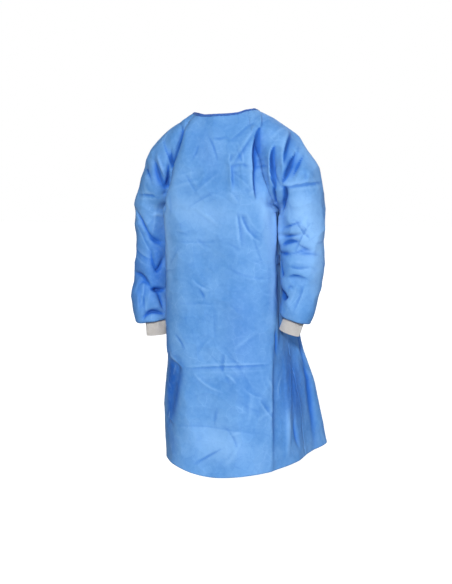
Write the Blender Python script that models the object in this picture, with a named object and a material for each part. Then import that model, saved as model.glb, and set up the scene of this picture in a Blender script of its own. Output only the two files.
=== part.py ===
"""Surgical gown, worn shape with nobody in it: raglan sleeves, knit cuffs, bound neck, wrap-over back and belt.

Metres, +Z up, the front faces -Y and the wearer's left is +X.  The origin is where the neck opening
rests on the wearer.  Every panel is a grid of points on the cloth's middle surface, given its thickness
along the normals, and pieces that are sewn together share the points and the normals of their seam.
"""

import math

import bmesh
import bpy
import numpy as np

# ---------------------------------------------------------------- driving sizes
CLOTH = 0.0020  # wall of every cloth panel
SEAM_GAP = 0.0003  # between pieces that are sewn together
BINDING_WALL = 0.0010
BINDING_HEIGHT = 0.0085
BELT_WALL = 0.0012
BELT_TOP, BELT_BOTTOM = -0.452, -0.482
CUFF_WALL = 0.0024
HEM_Z = -1.177

YOKE_ROWS = 14  # neck to armpit
SKIRT_ROWS = 25  # armpit to hem
FRONT_COLUMNS = 26
BACK_COLUMNS = 11
SLEEVE_COLUMNS = 18
SLEEVE_ROWS = 17  # armpit to the lower edge
CUFF_ROWS = 4
BELT_START = 3  # front columns from the left side seam to the belt's sewn end
KNOT_COLUMN = 5.0  # of the inner back panel
KNOT_SIZE = (0.024, 0.013, 0.024)
CLOSURE_COLUMNS = (7.4, 9.9)  # of each back panel
CLOSURE_ROWS = (1.1, 1.9)
CLOSURE_WALL = 0.0016
CUFF_RIBS = 18
PARTED = ("back_right", "sleeve_right")  # panels in two nodes, so that their collision stays out of the hollow

BLUE, BINDING_BLUE = (0.10, 0.29, 0.70), (0.035, 0.10, 0.37)
CLOSURE_BLUE, KNIT = (0.06, 0.14, 0.40), (0.61, 0.58, 0.545)


def table(columns, *rows):
    """Named columns from rows of numbers."""
    return {name: np.array([row[i] for row in rows], float) for i, name in enumerate(columns.split())}


# ---------------------------------------------------------------- sleeves
# station 0 is the neck edge, 1 the armpit, 2 the lower edge.  Each row is an arc of an ellipse: its apex on the
# outer side, the tilt of the apex above level, its outward and fore-and-aft half sizes, and how far the arc
# reaches each way from the apex, which is all round from the armpit down.
SLEEVE_COLUMN_NAMES = "station apex_x apex_z tilt out deep span centre_y"
LEFT_SLEEVE = table(
    SLEEVE_COLUMN_NAMES,
    (0.00, 0.107, 0.027, 14, 0.029, 0.052, 60, 0.000),
    (0.24, 0.172, -0.005, 48, 0.083, 0.100, 80, 0.000),
    (0.38, 0.230, -0.045, 38, 0.108, 0.105, 90, 0.000),
    (0.53, 0.279, -0.100, 31, 0.111, 0.109, 105, 0.000),
    (0.70, 0.320, -0.175, 24, 0.0990, 0.110, 125, 0.000),
    (0.81, 0.332, -0.225, 18, 0.0890, 0.101, 137, 0.000),
    (1.00, 0.338, -0.285, 8, 0.0720, 0.090, 180, 0.000),
    (1.15, 0.342, -0.350, 4, 0.0720, 0.082, 180, -0.008),
    (1.30, 0.343, -0.410, 0, 0.0730, 0.076, 180, -0.014),
    (1.50, 0.344, -0.495, -4, 0.0720, 0.072, 180, -0.020),
    (1.62, 0.336, -0.545, -6, 0.0680, 0.067, 180, -0.026),
    (1.78, 0.330, -0.600, -10, 0.0640, 0.064, 180, -0.034),
    (1.93, 0.318, -0.645, -15, 0.0580, 0.059, 180, -0.042),
    (2.00, 0.310, -0.664, -17, 0.0535, 0.053, 180, -0.046),
)
RIGHT_SLEEVE = table(
    SLEEVE_COLUMN_NAMES,
    (0.00, 0.106, 0.024, 14, 0.028, 0.052, 60, 0.000),
    (0.24, 0.158, -0.006, 48, 0.072, 0.098, 80, 0.000),
    (0.38, 0.217, -0.045, 38, 0.100, 0.105, 90, 0.000),
    (0.53, 0.266, -0.100, 31, 0.105, 0.109, 105, 0.000),
    (0.70, 0.292, -0.175, 24, 0.0860, 0.110, 125, 0.000),
    (0.81, 0.311, -0.225, 18, 0.0790, 0.101, 137, 0.000),
    (1.00, 0.327, -0.287, 8, 0.0680, 0.090, 180, 0.000),
    (1.15, 0.326, -0.355, 4, 0.0670, 0.081, 180, -0.006),
    (1.30, 0.324, -0.415, 0, 0.0670, 0.076, 180, -0.010),
    (1.50, 0.325, -0.500, -2, 0.0660, 0.071, 180, -0.016),
    (1.62, 0.327, -0.545, -4, 0.0640, 0.066, 180, -0.022),
    (1.72, 0.337, -0.585, -6, 0.0680, 0.067, 180, -0.028),
    (1.93, 0.324, -0.665, -8, 0.0630, 0.061, 180, -0.036),
    (2.00, 0.317, -0.690, -10, 0.0590, 0.055, 180, -0.040),
)
# below the lower edge the cloth rolls in and up to the seam with the cuff: share of the edge's size, and rise
ROLL = table("share rise gather", (0.94, -0.006, 0.02), (0.82, -0.008, 0.05), (0.71, -0.004, 0.07), (0.62, 0.003, 0.08))
UNDERARM_PINCH = 0.006  # the seam under the arm is drawn this far towards the body
GATHERS = 6
CUFF_LENGTH = 0.058
CUFF_OUT, CUFF_DEEP = 0.0345, 0.0275  # half sizes at its open end
CUFF_TILT = {"left": -19.0, "right": -6.0}
CUFF_SHIFT = {"left": 0.000, "right": -0.012}  # from the middle of the lower edge, away from the body

# ---------------------------------------------------------------- body
# station 0 is the neck edge and 1 the armpit, as on the sleeves; the last is the hem.  x is away from the middle.
FRONT_LINE = table(
    "station z y back_y",
    (0.00, 0.009, -0.092, 0.078),
    (0.24, -0.057, -0.124, 0.104),
    (0.38, -0.112, -0.141, 0.119),
    (0.53, -0.170, -0.150, 0.127),
    (0.70, -0.232, -0.154, 0.132),
    (0.81, -0.266, -0.155, 0.134),
    (1.00, -0.305, -0.156, 0.136),
    (2.00, BELT_TOP, -0.155, 0.140),
    (3.00, -0.640, -0.160, 0.150),
    (4.00, -0.760, -0.164, 0.166),
    (5.00, -0.840, -0.166, 0.182),
    (6.00, -0.960, -0.170, 0.208),
    (7.00, HEM_Z, -0.180, 0.245),
)
SIDE_COLUMN_NAMES = (
    "station quarter_x quarter_y corner_x corner_y side_x side_y back_corner_x back_corner_y "
    "back_quarter_x back_quarter_y front_rise back_rise"
)
YOKE_SIDE = (
    (0.00, 0.045, -0.085, 0.077, -0.067, 0, 0, 0.077, 0.060, 0.045, 0.072, 0.000, 0.000),
    (0.24, 0.062, -0.121, 0.106, -0.111, 0, 0, 0.103, 0.098, 0.060, 0.103, 0.000, 0.000),
    (0.38, 0.070, -0.139, 0.116, -0.127, 0, 0, 0.114, 0.111, 0.068, 0.118, 0.000, 0.000),
    (0.53, 0.078, -0.148, 0.130, -0.134, 0, 0, 0.128, 0.117, 0.075, 0.126, 0.000, 0.000),
    (0.70, 0.086, -0.152, 0.150, -0.130, 0, 0, 0.146, 0.114, 0.082, 0.130, 0.000, 0.000),
    (0.81, 0.092, -0.153, 0.166, -0.121, 0, 0, 0.162, 0.106, 0.088, 0.131, 0.000, 0.000),
)
LEFT_SIDE = table(
    SIDE_COLUMN_NAMES,
    *YOKE_SIDE,
    (1.00, 0.104, -0.151, 0.180, -0.114, 0.188, 0.000, 0.178, 0.080, 0.100, 0.130, 0.000, 0.000),
    (1.25, 0.106, -0.151, 0.184, -0.108, 0.182, 0.000, 0.172, 0.086, 0.101, 0.131, 0.000, 0.000),
    (2.00, 0.112, -0.152, 0.195, -0.086, 0.186, 0.000, 0.172, 0.100, 0.105, 0.134, 0.000, 0.000),
    (3.00, 0.112, -0.156, 0.197, -0.084, 0.196, 0.020, 0.204, 0.142, 0.112, 0.150, 0.000, 0.000),
    (4.00, 0.112, -0.158, 0.196, -0.088, 0.212, 0.036, 0.226, 0.164, 0.118, 0.168, 0.000, 0.002),
    (5.00, 0.114, -0.160, 0.197, -0.090, 0.224, 0.046, 0.247, 0.178, 0.124, 0.182, 0.002, 0.006),
    (6.00, 0.118, -0.164, 0.200, -0.092, 0.243, 0.058, 0.275, 0.196, 0.132, 0.208, 0.006, 0.016),
    (7.00, 0.124, -0.172, 0.206, -0.094, 0.268, 0.072, 0.306, 0.222, 0.142, 0.245, 0.018, 0.042),
)
RIGHT_SIDE = table(
    SIDE_COLUMN_NAMES,
    *YOKE_SIDE,
    (1.00, 0.100, -0.150, 0.175, -0.116, 0.185, 0.000, 0.172, 0.080, 0.098, 0.130, 0.000, 0.000),
    (1.25, 0.101, -0.150, 0.177, -0.111, 0.179, 0.000, 0.166, 0.086, 0.098, 0.131, 0.000, 0.000),
    (2.00, 0.104, -0.150, 0.184, -0.090, 0.180, 0.000, 0.160, 0.100, 0.100, 0.134, 0.000, 0.000),
    (3.00, 0.104, -0.154, 0.182, -0.096, 0.184, 0.006, 0.172, 0.122, 0.102, 0.148, 0.000, 0.000),
    (4.00, 0.104, -0.160, 0.178, -0.104, 0.194, 0.010, 0.182, 0.140, 0.106, 0.164, 0.000, 0.000),
    (5.00, 0.096, -0.160, 0.142, -0.126, 0.208, -0.006, 0.190, 0.154, 0.110, 0.180, 0.002, 0.000),
    (6.00, 0.096, -0.166, 0.158, -0.122, 0.219, -0.006, 0.196, 0.172, 0.116, 0.204, 0.008, 0.004),
    (7.00, 0.100, -0.176, 0.170, -0.118, 0.208, 0.006, 0.206, 0.200, 0.126, 0.240, 0.028, 0.014),
)
BACK_REACH = table("station beyond", (0.0, 0.16), (0.5, 0.13), (1.0, 0.12), (7.0, 0.11))  # past the middle
LAYER_SPACE = 0.0046  # each back panel from the shared surface, where they lie over each other

# ---------------------------------------------------------------- largest folds
# A fold runs through up to three points; depth is inwards, and a negative depth is a ridge.
FOLD_COLUMN_NAMES = "x1 y1 z1 x2 y2 z2 x3 y3 z3 width1 width2 depth"
YOKE_FOLDS = table(
    FOLD_COLUMN_NAMES,
    (0.112, -0.040, 0.010, 0.139, -0.110, -0.085, 0.140, -0.135, -0.235, 0.009, 0.016, 0.011),  # left of the chest
    (0.128, -0.080, -0.020, 0.088, -0.135, -0.110, 0.072, -0.145, -0.210, 0.010, 0.015, 0.006),  # across the chest
    (0.196, -0.110, -0.095, 0.196, -0.120, -0.165, 0.196, -0.110, -0.250, 0.009, 0.010, 0.009),  # raglan, lower
    (0.225, -0.040, -0.050, 0.226, -0.085, -0.105, 0.224, -0.110, -0.165, 0.016, 0.010, 0.008),  # shoulder
    (0.270, -0.070, -0.105, 0.243, -0.100, -0.160, 0.218, -0.100, -0.212, 0.008, 0.011, 0.014),  # to the armpit
    (0.298, -0.055, -0.118, 0.280, -0.085, -0.160, 0.258, -0.100, -0.200, 0.008, 0.010, 0.007),
    (-0.120, -0.100, -0.050, -0.146, -0.115, -0.120, -0.160, -0.115, -0.180, 0.010, 0.011, 0.010),  # right raglan
    (-0.246, -0.065, -0.125, -0.218, -0.100, -0.175, -0.190, -0.100, -0.220, 0.009, 0.011, 0.009),
    (0.150, 0.105, -0.090, 0.172, 0.120, -0.170, 0.190, 0.100, -0.240, 0.011, 0.012, 0.010),  # behind, left
    (-0.146, 0.105, -0.085, -0.170, 0.120, -0.165, -0.190, 0.100, -0.235, 0.011, 0.012, 0.010),  # behind, right
    (0.262, 0.085, -0.120, 0.236, 0.105, -0.180, 0.212, 0.085, -0.235, 0.010, 0.012, 0.009),
    (-0.262, 0.085, -0.118, -0.236, 0.105, -0.176, -0.212, 0.085, -0.230, 0.010, 0.012, 0.009),
)
BODY_FOLDS = table(
    FOLD_COLUMN_NAMES,
    (0.206, -0.060, -0.400, 0.214, -0.020, -0.620, 0.208, -0.060, -0.800, 0.010, 0.020, 0.010),  # behind the edge
    (0.252, -0.010, -0.760, 0.254, 0.020, -0.920, 0.254, 0.040, -1.060, 0.014, 0.018, 0.009),  # left flare
    (0.262, 0.120, -0.660, 0.276, 0.130, -0.900, 0.286, 0.140, -1.150, 0.014, 0.022, 0.010),
    (-0.214, 0.090, -0.560, -0.214, 0.100, -0.850, -0.222, 0.110, -1.150, 0.014, 0.024, 0.012),
    (-0.120, 0.170, -0.560, -0.130, 0.210, -0.850, -0.140, 0.240, -1.160, 0.015, 0.026, 0.012),
    (0.040, 0.165, -0.560, 0.050, 0.205, -0.850, 0.060, 0.245, -1.160, 0.015, 0.026, 0.012),
    (0.190, 0.180, -0.560, 0.200, 0.210, -0.850, 0.214, 0.240, -1.130, 0.015, 0.026, 0.012),
)
LEFT_SLEEVE_FOLDS = table(
    FOLD_COLUMN_NAMES,
    (0.206, -0.060, -0.420, 0.240, -0.098, -0.408, 0.275, -0.095, -0.400, 0.010, 0.012, 0.008),
    (0.204, -0.040, -0.505, 0.240, -0.090, -0.500, 0.300, -0.080, -0.494, 0.014, 0.012, 0.012),
    (0.214, -0.060, -0.592, 0.245, -0.098, -0.582, 0.280, -0.090, -0.560, 0.012, 0.012, 0.011),
    (0.345, 0.020, -0.520, 0.320, 0.060, -0.540, 0.270, 0.060, -0.560, 0.012, 0.014, 0.009),
    (0.345, 0.010, -0.400, 0.320, 0.060, -0.420, 0.270, 0.070, -0.440, 0.012, 0.014, 0.007),
)
RIGHT_SLEEVE_FOLDS = table(
    FOLD_COLUMN_NAMES,
    (-0.325, -0.045, -0.305, -0.268, -0.088, -0.362, -0.210, -0.070, -0.410, 0.009, 0.016, 0.011),
    (-0.330, -0.050, -0.528, -0.270, -0.095, -0.545, -0.215, -0.070, -0.577, 0.009, 0.012, 0.011),
    (-0.240, -0.095, -0.480, -0.225, -0.085, -0.520, -0.212, -0.070, -0.545, 0.016, 0.012, 0.008),
    (-0.330, 0.030, -0.520, -0.300, 0.050, -0.540, -0.240, 0.050, -0.560, 0.012, 0.014, 0.010),
    (-0.335, 0.010, -0.390, -0.300, 0.060, -0.415, -0.250, 0.070, -0.440, 0.012, 0.014, 0.008),
)


# ---------------------------------------------------------------- curves and surfaces
def smooth_rows(knots, values, where):
    """Monotone cubic through (knots, values): neighbouring rows of a table join without overshoot."""
    where = np.asarray(where, float)
    step = np.diff(knots)
    slope = np.diff(values) / step
    tangent = np.zeros(len(knots))
    before, after = slope[:-1], slope[1:]
    same_way = before * after > 0
    tangent[1:-1][same_way] = 2 * before[same_way] * after[same_way] / (before[same_way] + after[same_way])
    tangent[0], tangent[-1] = slope[0], slope[-1]
    i = np.clip(np.searchsorted(knots, where, side="right") - 1, 0, len(step) - 1)
    t = (where - knots[i]) / step[i]
    return (
        (2 * t**3 - 3 * t**2 + 1) * values[i]
        + (t**3 - 2 * t**2 + t) * step[i] * tangent[i]
        + (3 * t**2 - 2 * t**3) * values[i + 1]
        + (t**3 - t**2) * step[i] * tangent[i + 1]
    )


def row_of(rows, station):
    """One station's values of a table, as a dict."""
    return {name: float(smooth_rows(rows["station"], rows[name], station)) for name in rows}


def smooth_curve(points, start_way, end_way):
    """A fine polyline along the cubic spline through points, with set directions at its ends."""
    points = np.asarray(points, float)
    knots = np.concatenate([[0], np.cumsum(np.linalg.norm(np.diff(points, axis=0), axis=1))])
    step = np.diff(knots)
    count = len(points)
    matrix, right = np.zeros((count, count)), np.zeros((count, 3))
    matrix[0, 0] = matrix[-1, -1] = 1
    right[0], right[-1] = start_way, end_way
    for i in range(1, count - 1):
        matrix[i, i - 1 : i + 2] = step[i], 2 * (step[i - 1] + step[i]), step[i - 1]
        before, after = (points[i] - points[i - 1]) / step[i - 1], (points[i + 1] - points[i]) / step[i]
        right[i] = 3 * (step[i] * before + step[i - 1] * after)
    tangents = np.linalg.solve(matrix, right)
    where = np.linspace(0, knots[-1], 50 * count)
    i = np.clip(np.searchsorted(knots, where, side="right") - 1, 0, count - 2)
    h, t = step[i][:, None], ((where - knots[i]) / step[i])[:, None]
    return (
        (2 * t**3 - 3 * t**2 + 1) * points[i]
        + (t**3 - 2 * t**2 + t) * h * tangents[i]
        + (3 * t**2 - 2 * t**3) * points[i + 1]
        + (t**3 - t**2) * h * tangents[i + 1]
    )


def lengths_along(line):
    return np.concatenate([[0], np.cumsum(np.linalg.norm(np.diff(line, axis=0), axis=1))])


def points_at(line, shares):
    """Points of a polyline at shares of its length."""
    length = lengths_along(line)
    return np.stack([np.interp(np.asarray(shares) * length[-1], length, line[:, k]) for k in range(3)], axis=-1)


def upright_shares(shares, part_length):
    """Where the columns cross a row that is part_length as long as the row at the armpit: those near the middle
    stay under each other, and the ones near the seams close up."""
    way = 2 * np.asarray(shares) - 1
    power = max(min(2.0, 0.7 / max(1 - part_length, 1e-6) - 1), 0.0)
    way = way * (1 - (1 - part_length) * np.abs(way) ** power) / part_length
    return (way + 1) / 2


def sleeve_arc(rows, station, side, count):
    """One row of a sleeve, from the front seam or underarm over the outer side to the back one."""
    r = row_of(rows, min(station, 2.0))
    tilt = math.radians(r["tilt"])
    angle = np.linspace(-1, 1, count) * math.radians(r["span"])
    outward = np.array([math.cos(tilt), 0, math.sin(tilt)])
    centre = np.array([r["apex_x"], r["centre_y"], r["apex_z"]]) - r["out"] * outward
    arc = centre + r["out"] * np.cos(angle)[:, None] * outward
    arc[:, 1] += r["deep"] * np.sin(angle)
    near = math.exp(-(((station - 1) / (0.05 if station <= 1 else 0.03)) ** 2))
    arc[:, 0] -= UNDERARM_PINCH * near * np.abs(np.linspace(-1, 1, count)) ** 10
    return arc * [side, 1, 1]


def yoke_stations():
    """From the neck edge to the armpit, the first row just below the binding."""
    return np.concatenate([[0, 0.045], np.linspace(0.12, 1, YOKE_ROWS - 1)])


def skirt_stations():
    """From the armpit to the hem, with one row on each edge of the belt."""
    heights = [FRONT_LINE["z"][6], BELT_TOP, BELT_BOTTOM, HEM_Z]
    spans = np.abs(np.diff(heights))
    above = round(SKIRT_ROWS * spans[0] / (spans[0] + spans[2]))
    levels = np.concatenate(
        [
            np.linspace(heights[0], heights[1], above + 1)[:-1],
            [BELT_TOP],
            np.linspace(heights[2], heights[3], SKIRT_ROWS - above),
        ]
    )
    stations = np.linspace(1, FRONT_LINE["station"][-1], 2000)
    return np.interp(-levels, -smooth_rows(FRONT_LINE["station"], FRONT_LINE["z"], stations), stations)


def body_row(station, seams, back):
    """Half of one ring of the body, from the right seam to the left one by the front, or the same way by the back."""
    middle = row_of(FRONT_LINE, station)
    sides = (row_of(RIGHT_SIDE, station), row_of(LEFT_SIDE, station))
    quarter, corner = ("back_quarter", "back_corner") if back else ("quarter", "corner")
    way = 1 if back else -1
    ends, controls = [], []
    for side, r, seam in zip((-1, 1), sides, seams):
        side_lift = 0.5 * (r["front_rise"] + r["back_rise"])
        end = seam if seam is not None else np.array([side * r["side_x"], r["side_y"], middle["z"] + side_lift])
        lift = r["back_rise"] if back else r["front_rise"]
        ends.append(end)
        controls.append(
            [
                np.array([side * r[corner + "_x"], r[corner + "_y"], middle["z"] + lift]),
                np.array([side * r[quarter + "_x"], r[quarter + "_y"], middle["z"] + 0.65 * lift]),
            ]
        )
    centre = np.array([0, middle["back_y"] if back else middle["y"], middle["z"]])
    if station < 1:  # the row leaves the level of its middle only near the seams
        for end, points in zip(ends, controls):
            for point in points:
                point[2] = middle["z"] + (end[2] - middle["z"]) * abs(point[0] / end[0]) ** 3
    line = np.array([ends[0], *controls[0], centre, *controls[1][::-1], ends[1]])
    turn = math.radians(45 + 45 * min(station, 1.0) ** 6)  # how far the row has turned back where it meets the seam
    start = np.array([math.cos(turn), way * math.sin(turn), 0])
    return smooth_curve(line, start, start * [1, -1, 1])


def grid_normals(grid, wrapped_from=None):
    """Unit normals of a grid of points by central differences."""
    along = np.gradient(grid, axis=1)
    if wrapped_from is not None:
        ring = grid[wrapped_from:]
        around = (ring[:, 1] - ring[:, -2]) / 2
        along[wrapped_from:, 0] = along[wrapped_from:, -1] = around
    down = np.gradient(grid, axis=0)
    return unit(np.cross(down, along))


def unit(vectors):
    return vectors / np.maximum(np.linalg.norm(vectors, axis=-1, keepdims=True), 1e-12)


def square_to(vectors, ways):
    """The part of each vector square to a way, as a unit vector."""
    ways = unit(ways)
    return unit(vectors - (vectors * ways).sum(axis=-1, keepdims=True) * ways)


def fold_depth(points, folds):
    """How far each point lies inwards because of a table of folds: a rounded trough that fades at its ends."""
    total = np.zeros(points.shape[:-1])
    for i in range(len(folds["depth"])):
        route = np.array([[folds[f"{axis}{n}"][i] for axis in "xyz"] for n in (1, 2, 3)])
        nearest = np.full(total.shape, np.inf)
        share = np.zeros(total.shape)
        for n in range(2):
            span = route[n + 1] - route[n]
            t = np.clip((points - route[n]) @ span / (span @ span), 0, 1)
            gap = np.linalg.norm(points - route[n] - t[..., None] * span, axis=-1)
            share = np.where(gap < nearest, (n + t) / 2, share)
            nearest = np.minimum(nearest, gap)
        width = folds["width1"][i] + (folds["width2"][i] - folds["width1"][i]) * share
        total += folds["depth"][i] * np.exp(-((nearest / width) ** 2)) * (0.35 + 0.65 * np.sin(math.pi * share))
    return total


def make_grids():
    """The middle surfaces of the front, both backs and both sleeves, folded, with shared seams and normals."""
    yoke, skirt = yoke_stations(), skirt_stations()
    stations = np.concatenate([yoke, skirt[1:]])
    sleeves = {}
    for name, rows, side in (("left", LEFT_SLEEVE, 1), ("right", RIGHT_SLEEVE, -1)):
        tube = np.linspace(1, 2, SLEEVE_ROWS + 1)[1:]
        arcs = [sleeve_arc(rows, s, side, SLEEVE_COLUMNS + 1) for s in (*yoke, *tube)]
        arcs += roll_rows(arcs[-1], side * CUFF_SHIFT[name])
        sleeves[name] = np.array(arcs)
    rows = {"front": [], "back": []}
    for i, s in enumerate(stations):
        for name, column in (("front", 0), ("back", -1)):
            seams = [sleeves[side][i, column] for side in ("right", "left")] if s <= 1 else (None, None)
            rows[name].append(body_row(s, seams, name == "back"))
    grids = {"front": [], "back_left": [], "back_right": [], **{"sleeve_" + side: sleeves[side] for side in sleeves}}
    whole = {name: lengths_along(lines[YOKE_ROWS])[-1] for name, lines in rows.items()}
    for s, front, back in zip(stations, rows["front"], rows["back"]):
        part = {name: min(lengths_along(line)[-1] / whole[name], 1.0) for name, line in (("front", front), ("back", back))}
        grids["front"].append(points_at(front, upright_shares(np.linspace(0, 1, FRONT_COLUMNS + 1), part["front"])))
        reach = 0.5 + float(smooth_rows(BACK_REACH["station"], BACK_REACH["beyond"], s))
        shares = upright_shares(np.linspace(0, reach, BACK_COLUMNS + 1), part["back"])
        grids["back_right"].append(points_at(back, shares))
        grids["back_left"].append(points_at(back, 1 - shares))
    grids = {name: np.array(grid) for name, grid in grids.items()}
    normals = all_normals(grids)
    for name, grid in grids.items():
        own = {"sleeve_left": LEFT_SLEEVE_FOLDS, "sleeve_right": RIGHT_SLEEVE_FOLDS}.get(name, BODY_FOLDS)
        depth = fold_depth(grid, YOKE_FOLDS)
        depth[YOKE_ROWS + 1 :] += fold_depth(grid[YOKE_ROWS + 1 :], own)
        if name.startswith("back"):
            depth += back_layer(grid, 1 if name == "back_left" else -1)
        grid -= normals[name] * depth[..., None]
    return grids, all_normals(grids)


def all_normals(grids):
    normals = {name: outward_normals(name, grid) for name, grid in grids.items()}
    share_seam_normals(normals)
    for name, grid in grids.items():  # the neck edge is cut square to the cloth
        normals[name][0] = square_to(normals[name][0], grid[0] - grid[1])
    return normals


def roll_rows(edge, shift):
    """The lower edge of a sleeve turned in and gathered up to the cuff's seam."""
    centre = edge[:-1].mean(axis=0)
    angle = np.linspace(-math.pi, math.pi, len(edge))
    rows = []
    for share, rise, gather in zip(ROLL["share"], ROLL["rise"], ROLL["gather"]):
        wave = 1 + gather * np.cos(GATHERS * angle)
        row = centre + (edge - centre) * (share * wave)[:, None]
        row[:, 0] += shift * (1 - share) / (1 - ROLL["share"][-1])
        row[:, 2] += rise
        rows.append(row)
    return rows


def back_layer(grid, inner):
    """Where the two back panels lie over each other, the left one goes in and the right one comes out."""
    columns = np.linspace(0, 1, grid.shape[1])
    ramp = np.clip((columns - 0.32) / 0.26, 0, 1)
    return np.broadcast_to(inner * LAYER_SPACE * (3 * ramp**2 - 2 * ramp**3), grid.shape[:2])


def outward_normals(name, grid):
    normal = grid_normals(grid, YOKE_ROWS if name.startswith("sleeve") else None)
    return -normal if name in ("back_right", "sleeve_right") else normal


def share_seam_normals(normals):
    """Pieces that meet at a seam take the mean of their normals there; the armpit's points down and is thinner."""
    front, left, right = normals["front"], normals["sleeve_left"], normals["sleeve_right"]
    back_left, back_right = normals["back_left"], normals["back_right"]
    raglan = slice(0, YOKE_ROWS)
    skirt = slice(YOKE_ROWS + 1, None)
    pairs = (
        (front[raglan, -1], left[raglan, 0]),
        (front[raglan, 0], right[raglan, 0]),
        (back_left[raglan, 0], left[raglan, -1]),
        (back_right[raglan, 0], right[raglan, -1]),
        (front[skirt, -1], back_left[skirt, 0]),
        (front[skirt, 0], back_right[skirt, 0]),
    )
    for a, b in pairs:
        mean = unit(a + b)
        a[:], b[:] = mean, mean
    for normal, column, way in (
        (front, -1, 1),
        (front, 0, -1),
        (back_left, 0, 1),
        (back_right, 0, -1),
        (left, [0, -1], -1),
        (right, [0, -1], 1),
    ):
        normal[YOKE_ROWS, column] = way * 0.1, 0, -0.3


# ---------------------------------------------------------------- solids
def new_object(name, mesh, colour, roughness=0.75):
    obj = bpy.data.objects.new(name, mesh)
    collection.objects.link(obj)
    material = bpy.data.materials.new(name)
    material.use_nodes = True
    shader = material.node_tree.nodes["Principled BSDF"]
    shader.inputs["Base Color"].default_value = (*colour, 1)
    shader.inputs["Roughness"].default_value = roughness
    mesh.materials.append(material)
    return obj


def wall(name, grid, normals, thickness, colour, wrapped_from=None, trims=()):
    """A closed cloth wall on a grid of middle points. Rows from wrapped_from on are rings, whose ends are one
    point. trims names the columns or corners that stand back from a seam by half its gap."""
    grid = grid.copy()
    last = grid.shape[1] - 1
    for column in trims:
        rows = slice(0, wrapped_from) if wrapped_from is not None else slice(None)
        inwards = (grid[:, 1] - grid[:, 0]) if column == 0 else (grid[:, last - 1] - grid[:, last])
        away = unit(np.cross(normals[:, column], np.gradient(grid[:, column], axis=0)))
        away *= np.sign((away * inwards).sum(axis=-1, keepdims=True))
        grid[rows, column] += away[rows] * SEAM_GAP / 2
    offset = normals * thickness / 2
    layers = (grid + offset, grid - offset)
    bm = bmesh.new()
    corner = {}
    for layer, points in enumerate(layers):
        for r in range(grid.shape[0]):
            ring = wrapped_from is not None and r >= wrapped_from
            for c in range(last + (0 if ring else 1)):
                corner[layer, r, c] = bm.verts.new(points[r, c])
            if ring:
                corner[layer, r, last] = corner[layer, r, 0]

    def strip(a, b, c, d):
        bm.faces.new((a, b, c))
        bm.faces.new((a, c, d))

    falling = np.linalg.norm(grid[:-1, :-1] - grid[1:, 1:], axis=-1)
    rising = np.linalg.norm(grid[:-1, 1:] - grid[1:, :-1], axis=-1)
    for r in range(grid.shape[0] - 1):
        for c in range(last):
            around = [(r, c), (r, c + 1), (r + 1, c + 1), (r + 1, c)]
            if rising[r, c] < falling[r, c]:  # split across the shorter way
                around = around[1:] + around[:1]
            for layer in (0, 1):
                strip(*(corner[layer, i, j] for i, j in around))
    bottom = grid.shape[0] - 1
    for c in range(last):
        for r in (0, bottom):
            strip(corner[0, r, c], corner[0, r, c + 1], corner[1, r, c + 1], corner[1, r, c])
    if wrapped_from != 0:
        for r in range(bottom if wrapped_from is None else wrapped_from):
            for c in (0, last):
                strip(corner[0, r, c], corner[0, r + 1, c], corner[1, r + 1, c], corner[1, r, c])
    bmesh.ops.recalc_face_normals(bm, faces=bm.faces)
    mesh = bpy.data.meshes.new(name)
    bm.to_mesh(mesh)
    bm.free()
    return new_object(name, mesh, colour)


def swept(name, rings, colour):
    """A closed solid through rings of points, with flat ends made of the strips between its two halves."""
    rings = np.asarray(rings)
    count = rings.shape[1]
    bm = bmesh.new()
    verts = [[bm.verts.new(p) for p in ring] for ring in rings]
    for a, b in zip(verts, verts[1:]):
        for k in range(count):
            n = (k + 1) % count
            bm.faces.new((a[k], a[n], b[n]))
            bm.faces.new((a[k], b[n], b[k]))
    for ring in (verts[0], verts[-1]):
        for k in range(count // 2 - 1):
            bm.faces.new((ring[k], ring[k + 1], ring[count - 2 - k], ring[count - 1 - k]))
    bmesh.ops.recalc_face_normals(bm, faces=bm.faces)
    mesh = bpy.data.meshes.new(name)
    bm.to_mesh(mesh)
    bm.free()
    return new_object(name, mesh, colour)


def parted_wall(name, grid, normals, trims, ring):
    """A cloth wall in two nodes, cut across at the armpit. Each stands back from the cut by half its gap, and by
    as much more as its thickness leans over the cut."""
    upper, lower = grid[: YOKE_ROWS + 1].copy(), grid[YOKE_ROWS:].copy()
    for part, edge, inner in ((upper, -1, -2), (lower, 0, 1)):
        way = unit(part[inner] - part[edge])
        lean = np.abs((normals[YOKE_ROWS] * way).sum(axis=-1, keepdims=True))
        part[edge] += way * (SEAM_GAP + lean * CLOTH) / 2
    wall(name + "_yoke", upper, normals[: YOKE_ROWS + 1], CLOTH, BLUE, trims=trims)
    wall(name, lower, normals[YOKE_ROWS:], CLOTH, BLUE, wrapped_from=0 if ring else None, trims=trims)


def make_panels(grids, normals):
    """The five cloth panels. At the armpit, where four seams meet, each piece stands back its own way."""
    for name, columns, way in (("front", (0, FRONT_COLUMNS), -1), ("back_left", (0,), 1), ("back_right", (0,), 1)):
        grid = grids[name].copy()
        grid[YOKE_ROWS, columns, 1] += way * SEAM_GAP / 2
        grid[YOKE_ROWS, columns, 0] -= np.sign(grid[YOKE_ROWS, columns, 0]) * SEAM_GAP / 2
        if name in PARTED:
            parted_wall(name, grid, normals[name], columns, ring=False)
        else:
            wall(name, grid, normals[name], CLOTH, BLUE, trims=columns)
    for name, way in (("sleeve_left", 1), ("sleeve_right", -1)):
        grid = grids[name].copy()
        grid[YOKE_ROWS, [0, -1], 0] += way * SEAM_GAP / 2
        columns = (0, SLEEVE_COLUMNS)
        if name in PARTED:
            parted_wall(name, grid, normals[name], columns, ring=True)
        else:
            wall(name, grid, normals[name], CLOTH, BLUE, YOKE_ROWS, columns)


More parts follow.
